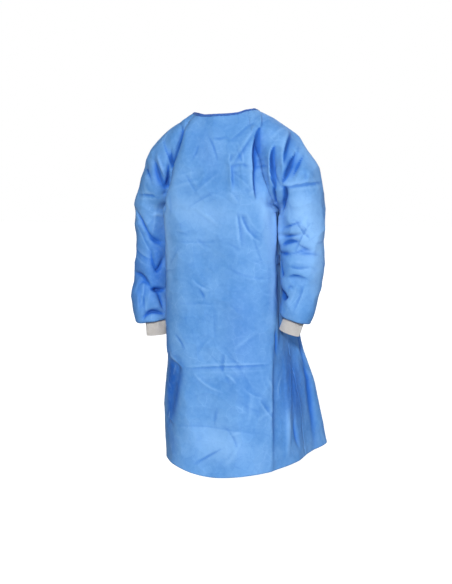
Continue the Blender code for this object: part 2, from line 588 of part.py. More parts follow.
def make_binding(grids, normals):
    """A strip folded over the neck edge all the way round, from the inner back panel's edge to the outer one's."""
    parts = (
        ("back_left", True, slice(1, None)),
        ("sleeve_left", True, slice(None)),
        ("front", True, slice(1, -1)),
        ("sleeve_right", False, slice(None)),
        ("back_right", False, slice(1, None)),
    )
    rims, outs, ups = [], [], []
    for name, backwards, columns in parts:
        order = slice(None, None, -1) if backwards else slice(None)
        rims.append(grids[name][0, columns][order])
        outs.append(normals[name][0, columns][order])
        ups.append(unit(grids[name][0, columns] - grids[name][1, columns])[order])
    rim, out, up = np.concatenate(rims), np.concatenate(outs), np.concatenate(ups)
    near = CLOTH / 2 + 3 * SEAM_GAP
    far = near + BINDING_WALL
    top = SEAM_GAP + BINDING_WALL
    profile = (
        (far, -BINDING_HEIGHT),
        (far, top),
        (-far, top),
        (-far, -BINDING_HEIGHT),
        (-near, -BINDING_HEIGHT),
        (-near, SEAM_GAP),
        (near, SEAM_GAP),
        (near, -BINDING_HEIGHT),
    )
    rings = np.stack([rim + out * a + up * b for a, b in profile], axis=1)
    swept("neck_binding", rings, BINDING_BLUE)


def make_cuff(side, grid):
    """A knit tube that starts inside the gathered end of the sleeve and widens to its own open end."""
    sign = 1 if side == "left" else -1
    seam = grid[-1]
    centre = seam[:-1].mean(axis=0)
    tilt = math.radians(CUFF_TILT[side])
    across = np.array([sign * math.cos(tilt), 0, math.sin(tilt)])
    down = np.array([sign * math.sin(tilt), -0.10, -math.cos(tilt)])
    inset = CLOTH / 2 + CUFF_WALL / 2 + 2 * SEAM_GAP
    top = (seam - centre) * (1 - inset / np.linalg.norm(seam - centre, axis=-1, keepdims=True))
    angle = np.linspace(-math.pi, math.pi, CUFF_RIBS + 1)
    end = CUFF_OUT * np.cos(angle)[:, None] * across + CUFF_DEEP * np.sin(angle)[:, None] * [0, 1, 0]
    shares = np.linspace(0, 1, CUFF_ROWS + 1)[:, None, None]
    rows = centre + down * CUFF_LENGTH * shares + top * (1 - shares) + end * shares
    wall("cuff_" + side, rows, grid_normals(rows, 0) * sign, CUFF_WALL, KNIT, wrapped_from=0)


def on_grid(name, row, column):
    """Point and normal of a panel between its rows and columns."""
    grid, normal = grids[name], normals[name]
    r, c = min(int(row), grid.shape[0] - 2), min(int(column), grid.shape[1] - 2)
    u, v = row - r, column - c
    weights = np.array([[(1 - u) * (1 - v), (1 - u) * v], [u * (1 - v), u * v]])[..., None]
    return (grid[r : r + 2, c : c + 2] * weights).sum(axis=(0, 1)), unit(
        (normal[r : r + 2, c : c + 2] * weights).sum(axis=(0, 1))
    )


def strip_along(name, path, half_width, lift):
    """A belt strip along (point, normal, way across) frames, each lifted off the cloth."""
    rings = []
    for (point, out, across), half, high in zip(path, half_width, lift):
        middle = point + out * high
        a, b = across * half, out * BELT_WALL / 2
        rings.append([middle - a - b, middle + a - b, middle + a + b, middle - a + b])
    swept(name, rings, BLUE)


def belt_frame(name, column):
    """Where the belt crosses a column of a panel: the point, the normal and the way up the cloth."""
    top = int(np.argmin(np.abs(grids["front"][:, FRONT_COLUMNS // 2, 2] - BELT_TOP)))
    point, normal = on_grid(name, top + 0.5, column)
    up = unit(on_grid(name, top, column)[0] - on_grid(name, top + 1, column)[0])
    return point, square_to(normal, up), up


def behind(x, z):
    """How far back the inner back panel stands at (x, z)."""
    across = [np.interp(-x, -row[:, 0], row[:, 1]) for row in grids["back_left"]]
    return np.interp(-z, -grids["back_left"][:, 0, 2], across)


def make_belt():
    """The belt from the left of the front round to the knot behind, the tie of the outer back panel, and their
    hanging ends."""
    half = (BELT_TOP - BELT_BOTTOM) / 2
    close = CLOTH / 2 + 2 * SEAM_GAP + BELT_WALL / 2
    far = close + KNOT_SIZE[1] / 2
    point, out, up = belt_frame("back_left", KNOT_COLUMN)
    knot, side = point + out * far, unit(np.cross(out, up))  # side points to the wearer's left
    narrow = KNOT_SIZE[2] * 0.36

    path = [belt_frame("front", c) for c in range(FRONT_COLUMNS - BELT_START, FRONT_COLUMNS)]
    path += [belt_frame("back_left", c) for c in range(int(KNOT_COLUMN))]
    path.append((point + side * (KNOT_SIZE[0] / 2 + SEAM_GAP), out, up))
    sizes = [half] * (len(path) - 2) + [0.5 * (half + narrow), narrow]
    strip_along("belt", path, sizes, [close] * (len(path) - 2) + [0.6 * close + 0.4 * far, far])

    path = [belt_frame("back_right", BACK_COLUMNS - 1), belt_frame("back_right", BACK_COLUMNS)]
    path.append((point - side * (KNOT_SIZE[0] / 2 + SEAM_GAP), out, up))
    strip_along("flap_tie", path, (half, half, narrow), (close, close, far))

    angle = np.linspace(0, 2 * math.pi, 9)[:-1]
    rings = []
    for along, size in ((-0.5, 0.62), (-0.3, 0.95), (0, 1.0), (0.3, 0.95), (0.5, 0.62)):
        round_x, round_z = 0.5 * size * np.cos(angle)[:, None], 0.5 * size * np.sin(angle)[:, None]
        rings.append(knot + side * along * KNOT_SIZE[0] + KNOT_SIZE[1] * round_x * out + KNOT_SIZE[2] * round_z * up)
    swept("belt_knot", rings, BLUE)

    for name, way, length, swing in (("belt_end", 1, 0.29, -9), ("tie_end", -1, 0.23, 7)):
        path = []
        for t in np.linspace(0, 1, 9):
            below = KNOT_SIZE[2] / 2 + length * t
            point = knot + side * way * (0.0078 + (0.020 if way > 0 else 0.009) * min(3 * t, 1)) - np.array([0, 0, below])
            turn = math.radians(swing * t)
            across, facing = side * math.cos(turn) + out * math.sin(turn), out * math.cos(turn) - side * math.sin(turn)
            cloth = max(behind(point[0] + dx, point[2]) for dx in (-0.015, 0, 0.015))
            if t > 0:
                point[1] = max(point[1], cloth + 0.008 + 0.007 * t)
            path.append((point, facing, across))
        strip_along(name, path, [0.0068, 0.0105] + [0.0135] * 7, [0] * 9)


def make_closure():
    """Hook and loop patches between the back panels, just under the neck binding."""
    for name, panel, way in (("neck_loop", "back_left", 1), ("neck_hook", "back_right", -1)):
        columns = np.linspace(CLOSURE_COLUMNS[0], CLOSURE_COLUMNS[1], 4)
        rows = np.linspace(CLOSURE_ROWS[0], CLOSURE_ROWS[1], 3)
        frames = [[on_grid(panel, r, c) for c in columns] for r in rows]
        normal = np.array([[frame[1] for frame in line] for line in frames])
        middle = np.array([[frame[0] for frame in line] for line in frames])
        middle += way * normal * (CLOTH / 2 + 2 * SEAM_GAP + CLOSURE_WALL / 2)
        wall(name, middle, normal, CLOSURE_WALL, CLOSURE_BLUE)


# ---------------------------------------------------------------- build
for old in list(bpy.data.objects):
    bpy.data.objects.remove(old)
collection = bpy.data.collections.new("surgical_gown")
bpy.context.scene.collection.children.link(collection)

grids, normals = make_grids()
make_panels(grids, normals)
make_binding(grids, normals)
for cuff_side in ("left", "right"):
    make_cuff(cuff_side, grids["sleeve_" + cuff_side])
make_belt()
make_closure()
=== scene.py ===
import math

import bpy
import numpy as np
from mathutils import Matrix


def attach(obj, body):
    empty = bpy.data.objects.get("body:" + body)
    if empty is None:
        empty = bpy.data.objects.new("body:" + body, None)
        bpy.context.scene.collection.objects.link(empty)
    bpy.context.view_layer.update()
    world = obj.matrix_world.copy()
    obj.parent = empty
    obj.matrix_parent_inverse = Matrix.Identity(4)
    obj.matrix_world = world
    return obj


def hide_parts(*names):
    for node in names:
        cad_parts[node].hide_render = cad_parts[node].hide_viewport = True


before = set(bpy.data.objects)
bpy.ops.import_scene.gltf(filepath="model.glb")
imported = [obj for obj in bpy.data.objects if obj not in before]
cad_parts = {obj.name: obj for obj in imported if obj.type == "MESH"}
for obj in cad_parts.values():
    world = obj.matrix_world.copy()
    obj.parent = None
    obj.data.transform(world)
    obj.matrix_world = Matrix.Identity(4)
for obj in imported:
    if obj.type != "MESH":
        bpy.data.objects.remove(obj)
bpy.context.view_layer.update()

print("frame loaded:", len(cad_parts), "solids")

# camera, lights and floor, in metres and degrees; a light's turn is where it stands: 0 in front, 90 at +X
studio = {
    "cameraAway": 3.0, "cameraTurn": 20.0, "cameraHeight": -0.25, "lookDown": 6.3, "focal": 54.43,
    "floorHeight": -1.46, "floorSize": 60.0, "floorTone": 0.40, "floorGlow": 0.95,
    "skyLight": 0.10, "skyColour": (0.70, 0.88, 1.20, 1),
    "key": {"power": 2.95, "turn": 12.0, "height": 22.0, "softness": 7.0, "colour": (1.0, 0.985, 0.96)},
    "fill": {"power": 0.9, "turn": 60.0, "height": 10.0, "softness": 40.0, "colour": (0.85, 0.97, 1.15)},
    "back": {"power": 1.1, "turn": 180.0, "height": 35.0, "softness": 50.0, "colour": (0.95, 0.98, 1.0)},
}


# a new object of the given data, in the scene
def addObject(name, data):
    thing = bpy.data.objects.new(name, data)
    bpy.context.scene.collection.objects.link(thing)
    return thing


def makeStudio(s):
    turn = math.radians(s["cameraTurn"])
    camera = addObject("camera", bpy.data.cameras.new("camera"))
    camera.data.sensor_width, camera.data.lens = 36, s["focal"]
    camera.location = (math.sin(turn) * s["cameraAway"], -math.cos(turn) * s["cameraAway"], s["cameraHeight"])
    camera.rotation_euler = (math.radians(90 - s["lookDown"]), 0, turn)
    bpy.context.scene.camera = camera
    for name in ("key", "fill", "back"):
        lamp = bpy.data.lights.new(name, "SUN")
        lamp.energy, lamp.color = s[name]["power"], s[name]["colour"]
        lamp.angle = math.radians(s[name]["softness"])
        tilt = math.radians(90 - s[name]["height"])
        addObject(name, lamp).rotation_euler = (tilt, 0, math.radians(s[name]["turn"]))
    bpy.context.scene.view_settings.view_transform = "Standard"
    # the sky lights the cloth softly, and behind it the camera meets plain white
    world = bpy.data.worlds.new("studio")
    bpy.context.scene.world = world
    world.use_nodes = True
    tree = world.node_tree
    soft = tree.nodes["Background"]
    soft.inputs["Color"].default_value = s["skyColour"]
    soft.inputs["Strength"].default_value = s["skyLight"]
    plain = tree.nodes.new("ShaderNodeBackground")
    plain.inputs["Color"].default_value = (1, 1, 1, 1)
    rays = tree.nodes.new("ShaderNodeLightPath")
    mix = tree.nodes.new("ShaderNodeMixShader")
    tree.links.new(rays.outputs["Is Camera Ray"], mix.inputs[0])
    tree.links.new(soft.outputs[0], mix.inputs[1])
    tree.links.new(plain.outputs[0], mix.inputs[2])
    tree.links.new(mix.outputs[0], tree.nodes["World Output"].inputs["Surface"])
    half = s["floorSize"] / 2
    square = ((-half, -half), (half, -half), (half, half), (-half, half))
    corners = [(x, y, s["floorHeight"]) for x, y in square]
    mesh = bpy.data.meshes.new("floor")
    mesh.from_pydata(corners, [], [(0, 1, 2, 3)])
    floor = addObject("floor", mesh)
    material = bpy.data.materials.new("paleFloor")
    material.use_nodes = True
    shader = material.node_tree.nodes["Principled BSDF"]
    shader.inputs["Base Color"].default_value = (s["floorTone"],) * 3 + (1,)
    shader.inputs["Roughness"].default_value = 0.9
    shader.inputs["Specular IOR Level"].default_value = 0.1
    # as pale as the wall to the eye, and no brighter than its own tone to the cloth
    shader.inputs["Emission Color"].default_value = (s["floorGlow"],) * 3 + (1,)
    seen = material.node_tree.nodes.new("ShaderNodeLightPath")
    material.node_tree.links.new(seen.outputs["Is Camera Ray"], shader.inputs["Emission Strength"])
    mesh.materials.append(material)


makeStudio(studio)
print("studio ready")


# named columns, in millimetres apart from the plain ones
def table(columns, *rows):
    plain = "station tilt span share gather beyond".split()
    found = zip(columns.split(), np.array(rows, float).T)
    return {name: column if name in plain else column / 1000 for name, column in found}


# the cut: rows from the neck edge, station 0, by the armpit, 1, to the sleeve's lower edge, 2, or the hem, 7
sleeveColumns = "station apexX apexZ tilt out deep span centreY"
leftSleeve = table(
    sleeveColumns,
    (0, 107, 27, 14, 29, 52, 60, 0),
    (0.24, 172, -5, 48, 83, 100, 80, 0),
    (0.38, 230, -45, 38, 108, 105, 90, 0),
    (0.53, 279, -100, 31, 111, 109, 105, 0),
    (0.7, 320, -175, 24, 99, 110, 125, 0),
    (0.81, 332, -225, 18, 89, 101, 137, 0),
    (1, 338, -285, 8, 72, 90, 180, 0),
    (1.15, 342, -350, 4, 72, 82, 180, -8),
    (1.3, 343, -410, 0, 73, 76, 180, -14),
    (1.5, 344, -495, -4, 72, 72, 180, -20),
    (1.62, 336, -545, -6, 68, 67, 180, -26),
    (1.78, 330, -600, -10, 64, 64, 180, -34),
    (1.93, 318, -645, -15, 58, 59, 180, -42),
    (2, 310, -664, -17, 53.5, 53, 180, -46),
)
rightSleeve = table(
    sleeveColumns,
    (0, 106, 24, 14, 28, 52, 60, 0),
    (0.24, 158, -6, 48, 72, 98, 80, 0),
    (0.38, 217, -45, 38, 100, 105, 90, 0),
    (0.53, 266, -100, 31, 105, 109, 105, 0),
    (0.7, 292, -175, 24, 86, 110, 125, 0),
    (0.81, 311, -225, 18, 79, 101, 137, 0),
    (1, 327, -287, 8, 68, 90, 180, 0),
    (1.15, 326, -355, 4, 67, 81, 180, -6),
    (1.3, 324, -415, 0, 67, 76, 180, -10),
    (1.5, 325, -500, -2, 66, 71, 180, -16),
    (1.62, 327, -545, -4, 64, 66, 180, -22),
    (1.72, 337, -585, -6, 68, 67, 180, -28),
    (1.93, 324, -665, -8, 63, 61, 180, -36),
    (2, 317, -690, -10, 59, 55, 180, -40),
)
middleLine = table(
    "station z y backY",
    (0, 9, -92, 78),
    (0.24, -57, -124, 104),
    (0.38, -112, -141, 119),
    (0.53, -170, -150, 127),
    (0.7, -232, -154, 132),
    (0.81, -266, -155, 134),
    (1, -305, -156, 136),
    (2, -452, -155, 140),
    (3, -640, -160, 150),
    (4, -760, -164, 166),
    (5, -840, -166, 182),
    (6, -960, -170, 208),
    (7, -1177, -180, 245),
)
sideColumns = (
    "station quarterX quarterY cornerX cornerY sideX sideY backCornerX backCornerY backQuarterX backQuarterY "
    "frontRise backRise"
)
yokeSide = (
    (0, 45, -85, 77, -67, 0, 0, 77, 60, 45, 72, 0, 0),
    (0.24, 62, -121, 106, -111, 0, 0, 103, 98, 60, 103, 0, 0),
    (0.38, 70, -139, 116, -127, 0, 0, 114, 111, 68, 118, 0, 0),
    (0.53, 78, -148, 130, -134, 0, 0, 128, 117, 75, 126, 0, 0),
    (0.7, 86, -152, 150, -130, 0, 0, 146, 114, 82, 130, 0, 0),
    (0.81, 92, -153, 166, -121, 0, 0, 162, 106, 88, 131, 0, 0),
)
leftSide = table(
    sideColumns,
    *yokeSide,
    (1, 104, -151, 180, -114, 188, 0, 178, 80, 100, 130, 0, 0),
    (1.25, 106, -151, 184, -108, 182, 0, 172, 86, 101, 131, 0, 0),
    (2, 112, -152, 195, -86, 186, 0, 172, 100, 105, 134, 0, 0),
    (3, 112, -156, 197, -84, 196, 20, 204, 142, 112, 150, 0, 0),
    (4, 112, -158, 196, -88, 212, 36, 226, 164, 118, 168, 0, 2),
    (5, 114, -160, 197, -90, 224, 46, 247, 178, 124, 182, 2, 6),
    (6, 118, -164, 200, -92, 243, 58, 275, 196, 132, 208, 6, 16),
    (7, 124, -172, 206, -94, 268, 72, 306, 222, 142, 245, 18, 42),
)
rightSide = table(
    sideColumns,
    *yokeSide,
    (1, 100, -150, 175, -116, 185, 0, 172, 80, 98, 130, 0, 0),
    (1.25, 101, -150, 177, -111, 179, 0, 166, 86, 98, 131, 0, 0),
    (2, 104, -150, 184, -90, 180, 0, 160, 100, 100, 134, 0, 0),
    (3, 104, -154, 182, -96, 184, 6, 172, 122, 102, 148, 0, 0),
    (4, 104, -160, 178, -104, 194, 10, 182, 140, 106, 164, 0, 0),
    (5, 96, -160, 142, -126, 208, -6, 190, 154, 110, 180, 2, 0),
    (6, 96, -166, 158, -122, 219, -6, 196, 172, 116, 204, 8, 4),
    (7, 100, -176, 170, -118, 208, 6, 206, 200, 126, 240, 28, 14),
)
# how far each back panel reaches past the middle, as a share of the half ring
backReach = table("station beyond", (0, 0.16), (0.5, 0.13), (1, 0.12), (7, 0.11))
sleeveRoll = table(  # the lower edge turned in and up to the cuff: share of the edge's size, and rise
    "station share rise gather",
    (0, 1, 0, 0),
    (1, 0.94, -6, 0.02),
    (2, 0.82, -8, 0.05),
    (3, 0.71, -4, 0.07),
    (4, 0.62, 3, 0.08),
)
cut = {
    "yokeRows": 92, "skirtRows": 236, "tubeRows": 100, "rollRows": 12,  # rows of the fine grids
    "frontColumns": 136, "backColumns": 80, "sleeveColumns": 124,
    "cloth": 0.0008, "layerSpace": 0.0046, "layerRamp": (0.32, 0.58), "underarmPinch": 0.006, "gathers": 6,
    "cuffShift": {"left": 0.0, "right": -0.012},
}

# folds, each a row in millimetres: a route through three points, the width at its two ends and the depth, a
# ridge being negative; then how crisp it is, from 0, round, to 1, sharp, and how far it is turned: 0 is a
# trough alike on both sides, 1 a sharp edge with a hollow on its left, -1 the same with it on the right
def foldTable(*rows):
    values = np.array(rows, float).T
    values[:12] /= 1000
    return dict(zip("x1 y1 z1 x2 y2 z2 x3 y3 z3 width1 width2 depth crisp turned".split(), values))


# the same with how far the painted light or shade goes in place of the depth
def paintedShadingTable(*rows):
    return foldTable(*((*row[:11], 1000 * row[11], 0, 0) for row in rows))


yokeFolds = foldTable(
    # from the left of the neck down the raglan seam, and the chest beside it
    (116, -9, 22, 145, -70, -16, 140, -90, -45, 5, 6, 10, 0.5, 1),
    (140, -86, -34, 129, -118, -105, 134, -129, -180, 17, 20, 24, 0.5, 1),
    (130, -125, -130, 136, -136, -205, 147, -136, -268, 20, 9, 20, 0.5, 1),
    (135, -84, -26, 107, -126, -96, 67, -148, -162, 16, 14, 11, 0.5, 1),
    (67, -148, -152, 72, -150, -192, 74, -153, -240, 8, 8, 11, 0.5, 1),
    (199, -94, -88, 185, -108, -145, 201, -104, -244, 13, 8, 26, 0.5, 1),
    (197, -106, -205, 196, -92, -250, 189, -55, -300, 6, 6, 16, 0.6, 0),
    (188, -70, -310, 190, -66, -350, 192, -61, -420, 16, 18, -10, 0, 0),
    # the left shoulder
    (225, -12, -38, 227, -83, -97, 226, -103, -160, 20, 13, 20, 0.5, 1),
    (265, -60, -103, 247, -98, -158, 224, -110, -215, 8, 10, 22, 0.5, 1),
    (259, -80, -125, 246, -99, -163, 226, -110, -205, 6, 6, 22, 0.8, 0),
    (209, -107, -157, 202, -110, -179, 223, -109, -226, 5, 5, 9, 0.8, 0),
    (283, -34, -116, 275, -78, -154, 261, -101, -192, 6, 6, 16, 0.8, 0.4),
    (222, -104, -153, 204, -109, -173, 222, -109, -223, 6, 6, -5, 0.4, 0),
    (232, -109, -226, 237, -102, -251, 215, -63, -300, 9, 7, 20, 0.6, 0),
    (303, -66, -186, 301, -74, -201, 298, -80, -218, 5, 5, 4, 0.5, -1),
    # the right of the neck down the raglan seam, and the right shoulder
    (-115, -96, -42, -128, -110, -95, -151, -109, -160, 8, 7, 24, 0.3, 0),
    (-158, -105, -107, -156, -107, -137, -150, -111, -156, 5, 5, 14, 0.9, 0),
    (-166, -108, -155, -171, -102, -205, -170, -110, -255, 5, 6, 22, 0.7, 0),
    (-184, -96, -250, -170, -112, -275, -174, -112, -310, 6, 7, 20, 0.6, 0),
    (-221, -97, -139, -205, -109, -182, -180, -98, -240, 8, 10, 24, 0.5, 0.4),
    (-206, -94, -120, -188, -108, -165, -168, -110, -205, 8, 8, -7, 0.4, 0),
    (-276, -60, -172, -252, -88, -172, -224, -109, -212, 6, 8, 15, 0.6, 0.4),
    (-196, -60, -72, -176, -90, -108, -160, -106, -150, 7, 7, 10, 0.6, 0.7),
    (-151, -37, -9, -120, -86, -28, -127, -95, -48, 5, 7, 10, 0.7, -0.5),
    # the same behind
    (150, 105, -90, 172, 120, -170, 190, 100, -240, 10, 12, 13, 0.5, -0.8),
    (-146, 105, -85, -170, 120, -165, -190, 100, -235, 10, 12, 14, 0.5, 0.8),
    (262, 85, -120, 236, 105, -180, 212, 85, -235, 8, 10, 14, 0.6, -0.7),
    (-262, 85, -118, -236, 105, -176, -212, 85, -230, 8, 10, 13, 0.6, 0.7),
    (128, 70, -30, 120, 110, -110, 105, 125, -200, 9, 11, 9, 0.5, -0.8),
    (-122, 70, -30, -110, 112, -110, -85, 128, -210, 9, 11, 10, 0.5, 0.8),
)
bodyFolds = foldTable(
    # the left side: beside the sleeve, the edge where the front turns back, and what hangs behind it
    (206, -60, -400, 214, -20, -600, 208, -60, -760, 10, 18, 9, 0.2, 0),
    (202, -69, -690, 202, -70, -725, 203, -71, -766, 9, 9, 12, 0.3, 0),
    (190, -96, -730, 194, -100, -920, 198, -106, -1175, 18, 20, 12, 0.5, 1),
    (215, 55, -775, 230, 12, -879, 237, -18, -995, 8, 9, 6, 0.5, 1),
    (221, 86, -755, 238, 120, -816, 260, 160, -885, 7, 6, -4, 0.7, 0),
    (232, -30, -965, 234, -33, -1034, 236, -42, -1120, 12, 13, -6, 0.2, 0),
    (244, 8, -995, 248, 4, -1048, 256, 18, -1105, 7, 9, 10, 0.5, 0),
    (262, 120, -660, 276, 130, -900, 286, 140, -1150, 14, 22, 11, 0.3, 0),
    # the right side: a hollow face under the cuff, with an edge above it and one beside it
    (-174, -104, -776, -138, -139, -794, -97, -160, -820, 9, 9, 11, 0.5, -1),
    (-120, -148, -810, -140, -134, -900, -156, -124, -1000, 28, 30, 7, 0, 0),
    (-192, -82, -992, -164, -118, -1004, -134, -148, -1016, 7, 6, 6, 0.5, -1),
    (-214, 90, -560, -214, 100, -850, -222, 110, -1150, 14, 24, 12, 0.3, 0),
    # behind
    (-120, 170, -500, -130, 210, -850, -140, 240, -1160, 14, 24, 16, 0.4, 0.7),
    (-50, 160, -480, -40, 190, -640, -52, 215, -900, 10, 16, 10, 0.5, -0.7),
    (40, 165, -500, 50, 205, -850, 60, 245, -1160, 14, 24, 16, 0.4, -0.7),
    (120, 150, -480, 132, 190, -620, 136, 215, -860, 10, 16, 10, 0.5, 0.7),
    (190, 180, -560, 200, 210, -850, 214, 240, -1130, 14, 22, 15, 0.4, -0.7),
    (-170, 130, -470, -176, 160, -640, -186, 185, -980, 10, 18, 11, 0.5, 0.7),
    (-110, 140, -300, -60, 146, -380, 20, 148, -450, 9, 11, 8, 0.6, 0.7),
    (120, 140, -300, 100, 146, -380, 60, 148, -450, 9, 11, 8, 0.6, -0.7),
)
leftSleeveFolds = foldTable(
    # inside the elbow and the forearm: creases that run out from where the sleeve bends, and two deep gaps
    (220, -66, -358, 253, -88, -350, 292, -85, -333, 9, 5, 12, 0.6, 0.3),
    (215, -61, -384, 246, -85, -382, 292, -86, -376, 6, 5, 9, 0.6, 0),
    (212, -62, -415, 246, -86, -402, 278, -90, -401, 10, 5, 20, 0.6, 0.3),
    (270, -90, -400, 296, -85, -414, 320, -71, -426, 6, 6, 8, 0.6, -0.7),
    (212, -50, -438, 228, -72, -440, 246, -86, -436, 8, 8, 10, 0.3, 0),
    (235, -81, -447, 274, -90, -436, 311, -78, -426, 6, 6, 9, 0.6, 0.5),
    (280, -90, -448, 311, -78, -443, 341, -37, -451, 12, 10, 10, 0.4, 0.5),
    (207, -52, -300, 206, -50, -355, 208, -55, -405, 14, 12, -9, 0, 0),
    (203, -40, -424, 206, -47, -470, 221, -71, -508, 9, 8, 28, 0.6, 0),
    (240, -85, -515, 269, -92, -503, 312, -79, -516, 11, 10, 14, 0.5, -0.8),
    (204, -48, -565, 226, -82, -577, 243, -92, -579, 13, 6, 28, 0.6, 0),
    (244, -91, -557, 253, -92, -546, 266, -94, -553, 6, 6, 9, 0.6, 0.3),
    (345, 20, -520, 320, 60, -540, 270, 60, -560, 9, 11, 13, 0.6, 0.5),
    (345, 10, -400, 320, 60, -420, 270, 70, -440, 9, 11, 12, 0.6, -0.5),
)
rightSleeveFolds = foldTable(
    # from outside the elbow down to the inside, the crook of the arm, and the forearm puffed out below it
    (-310, -58, -296, -276, -83, -340, -243, -83, -390, 5, 6, 13, 0.8, 0),
    (-246, -84, -386, -228, -79, -405, -205, -60, -414, 9, 11, 14, 0.4, 0),
    (-236, -82, -322, -220, -72, -316, -205, -60, -324, 6, 6, -6, 0.5, 0),
    (-243, -84, -440, -234, -81, -489, -218, -73, -510, 6, 7, 12, 0.7, 0),
    (-228, -79, -510, -216, -70, -500, -206, -60, -470, 8, 9, 14, 0.5, 0),
    (-314, -56, -520, -276, -86, -529, -244, -90, -560, 5, 6, 18, 0.8, 0),
    (-284, -88, -556, -274, -88, -547, -260, -91, -555, 5, 5, 9, 0.8, 0),
    (-242, -88, -571, -223, -77, -574, -204, -56, -576, 6, 7, 26, 0.7, 0),
    (-222, -76, -580, -212, -68, -610, -205, -60, -640, 7, 9, 12, 0.6, 0),
    (-268, -96, -672, -238, -92, -649, -203, -62, -660, 6, 7, 22, 0.7, 0),
    (-288, -86, -572, -284, -90, -610, -282, -90, -650, 9, 9, 7, 0.5, 0.8),
    (-330, 30, -520, -300, 50, -540, -240, 50, -560, 9, 11, 14, 0.6, 0.5),
    (-335, 10, -390, -300, 60, -415, -250, 70, -440, 9, 11, 12, 0.6, -0.5),
)
# creases over the main folds: some from folding and handling, some where the cloth pulls
yokeCreases = foldTable(
    (67, -146, -160, 100, -140, -152, 134, -130, -162, 4, 4, 1.6, 0.9, -0.6),
    (134, -130, -162, 160, -122, -155, 186, -109, -158, 4, 4, 1.6, 0.9, -0.6),
    (131, -90, 2, 95, -115, -40, 58, -130, -77, 6, 10, 2.6, 0.4, 0.6),
    (229, -109, -227, 290, -84, -214, 328, -3, -208, 4, 4, 4, 0.9, -0.6),
    (-288, -76, -247, -236, -101, -247, -214, -96, -258, 4, 4, 4, 0.9, -0.6),
    (-92, -148, -180, -72, -152, -213, -50, -154, -245, 4, 4, 1.4, 0.9, 0.6),
    (30, -152, -180, -8, -153, -212, -48, -154, -245, 6, 5, 1, 0.5, -0.8),
    (19, -155, -249, -22, -155, -267, -74, -154, -297, 4, 4, 1.5, 0.9, -0.6),
)
bodyCreases = foldTable(
    (-136, -138, -409, -40, -156, -408, 46, -157, -405, 4, 4, 0.8, 0.9, 0.6),
    (-110, -151, -613, -36, -159, -608, 34, -160, -605, 4, 4, 0.9, 0.9, 0.6),
    (-85, -164, -817, 64, -166, -800, 187, -104, -796, 5, 5, 2, 0.9, -0.8),
    (-126, -155, -1026, 3, -172, -1015, 186, -115, -1034, 5, 5, 1.2, 0.9, 0.6),
    (13, -160, -616, 14, -161, -671, 15, -163, -728, 4, 4, 0.8, 0.9, 0.6),
    (83, -152, -250, 92, -153, -331, 103, -153, -420, 7, 10, 2.6, 0.6, 0.8),
    (100, -152, -299, 122, -147, -362, 165, -127, -404, 5, 7, 2.4, 0.7, 0.8),
    (53, -164, -735, 104, -161, -798, 149, -144, -887, 4, 5, 0.9, 0.9, -0.6),
    (-17, -164, -756, 43, -166, -818, 78, -169, -897, 4, 5, 0.9, 0.9, 0.6),
)
leftSleeveCreases = foldTable(
    (262, -90, -330, 290, -88, -372, 312, -78, -392, 5, 5, 3.4, 0.9, 0.6),
    (318, -70, -342, 296, -88, -384, 270, -92, -436, 5, 5, 3.4, 0.9, -0.6),
    (250, -88, -480, 276, -92, -490, 322, -72, -484, 6, 5, 3, 0.8, 0.6),
    (300, -85, -540, 290, -90, -580, 268, -96, -630, 6, 6, 3.4, 0.8, -0.6),
)
rightSleeveCreases = foldTable(
    (-300, -60, -335, -270, -85, -400, -240, -85, -450, 6, 8, 3.4, 0.8, 0.6),
    (-318, -40, -420, -280, -82, -450, -230, -80, -470, 5, 6, 2.8, 0.8, -0.6),
    (-262, -95, -590, -258, -96, -620, -256, -96, -655, 6, 6, 3, 0.8, -0.6),
)
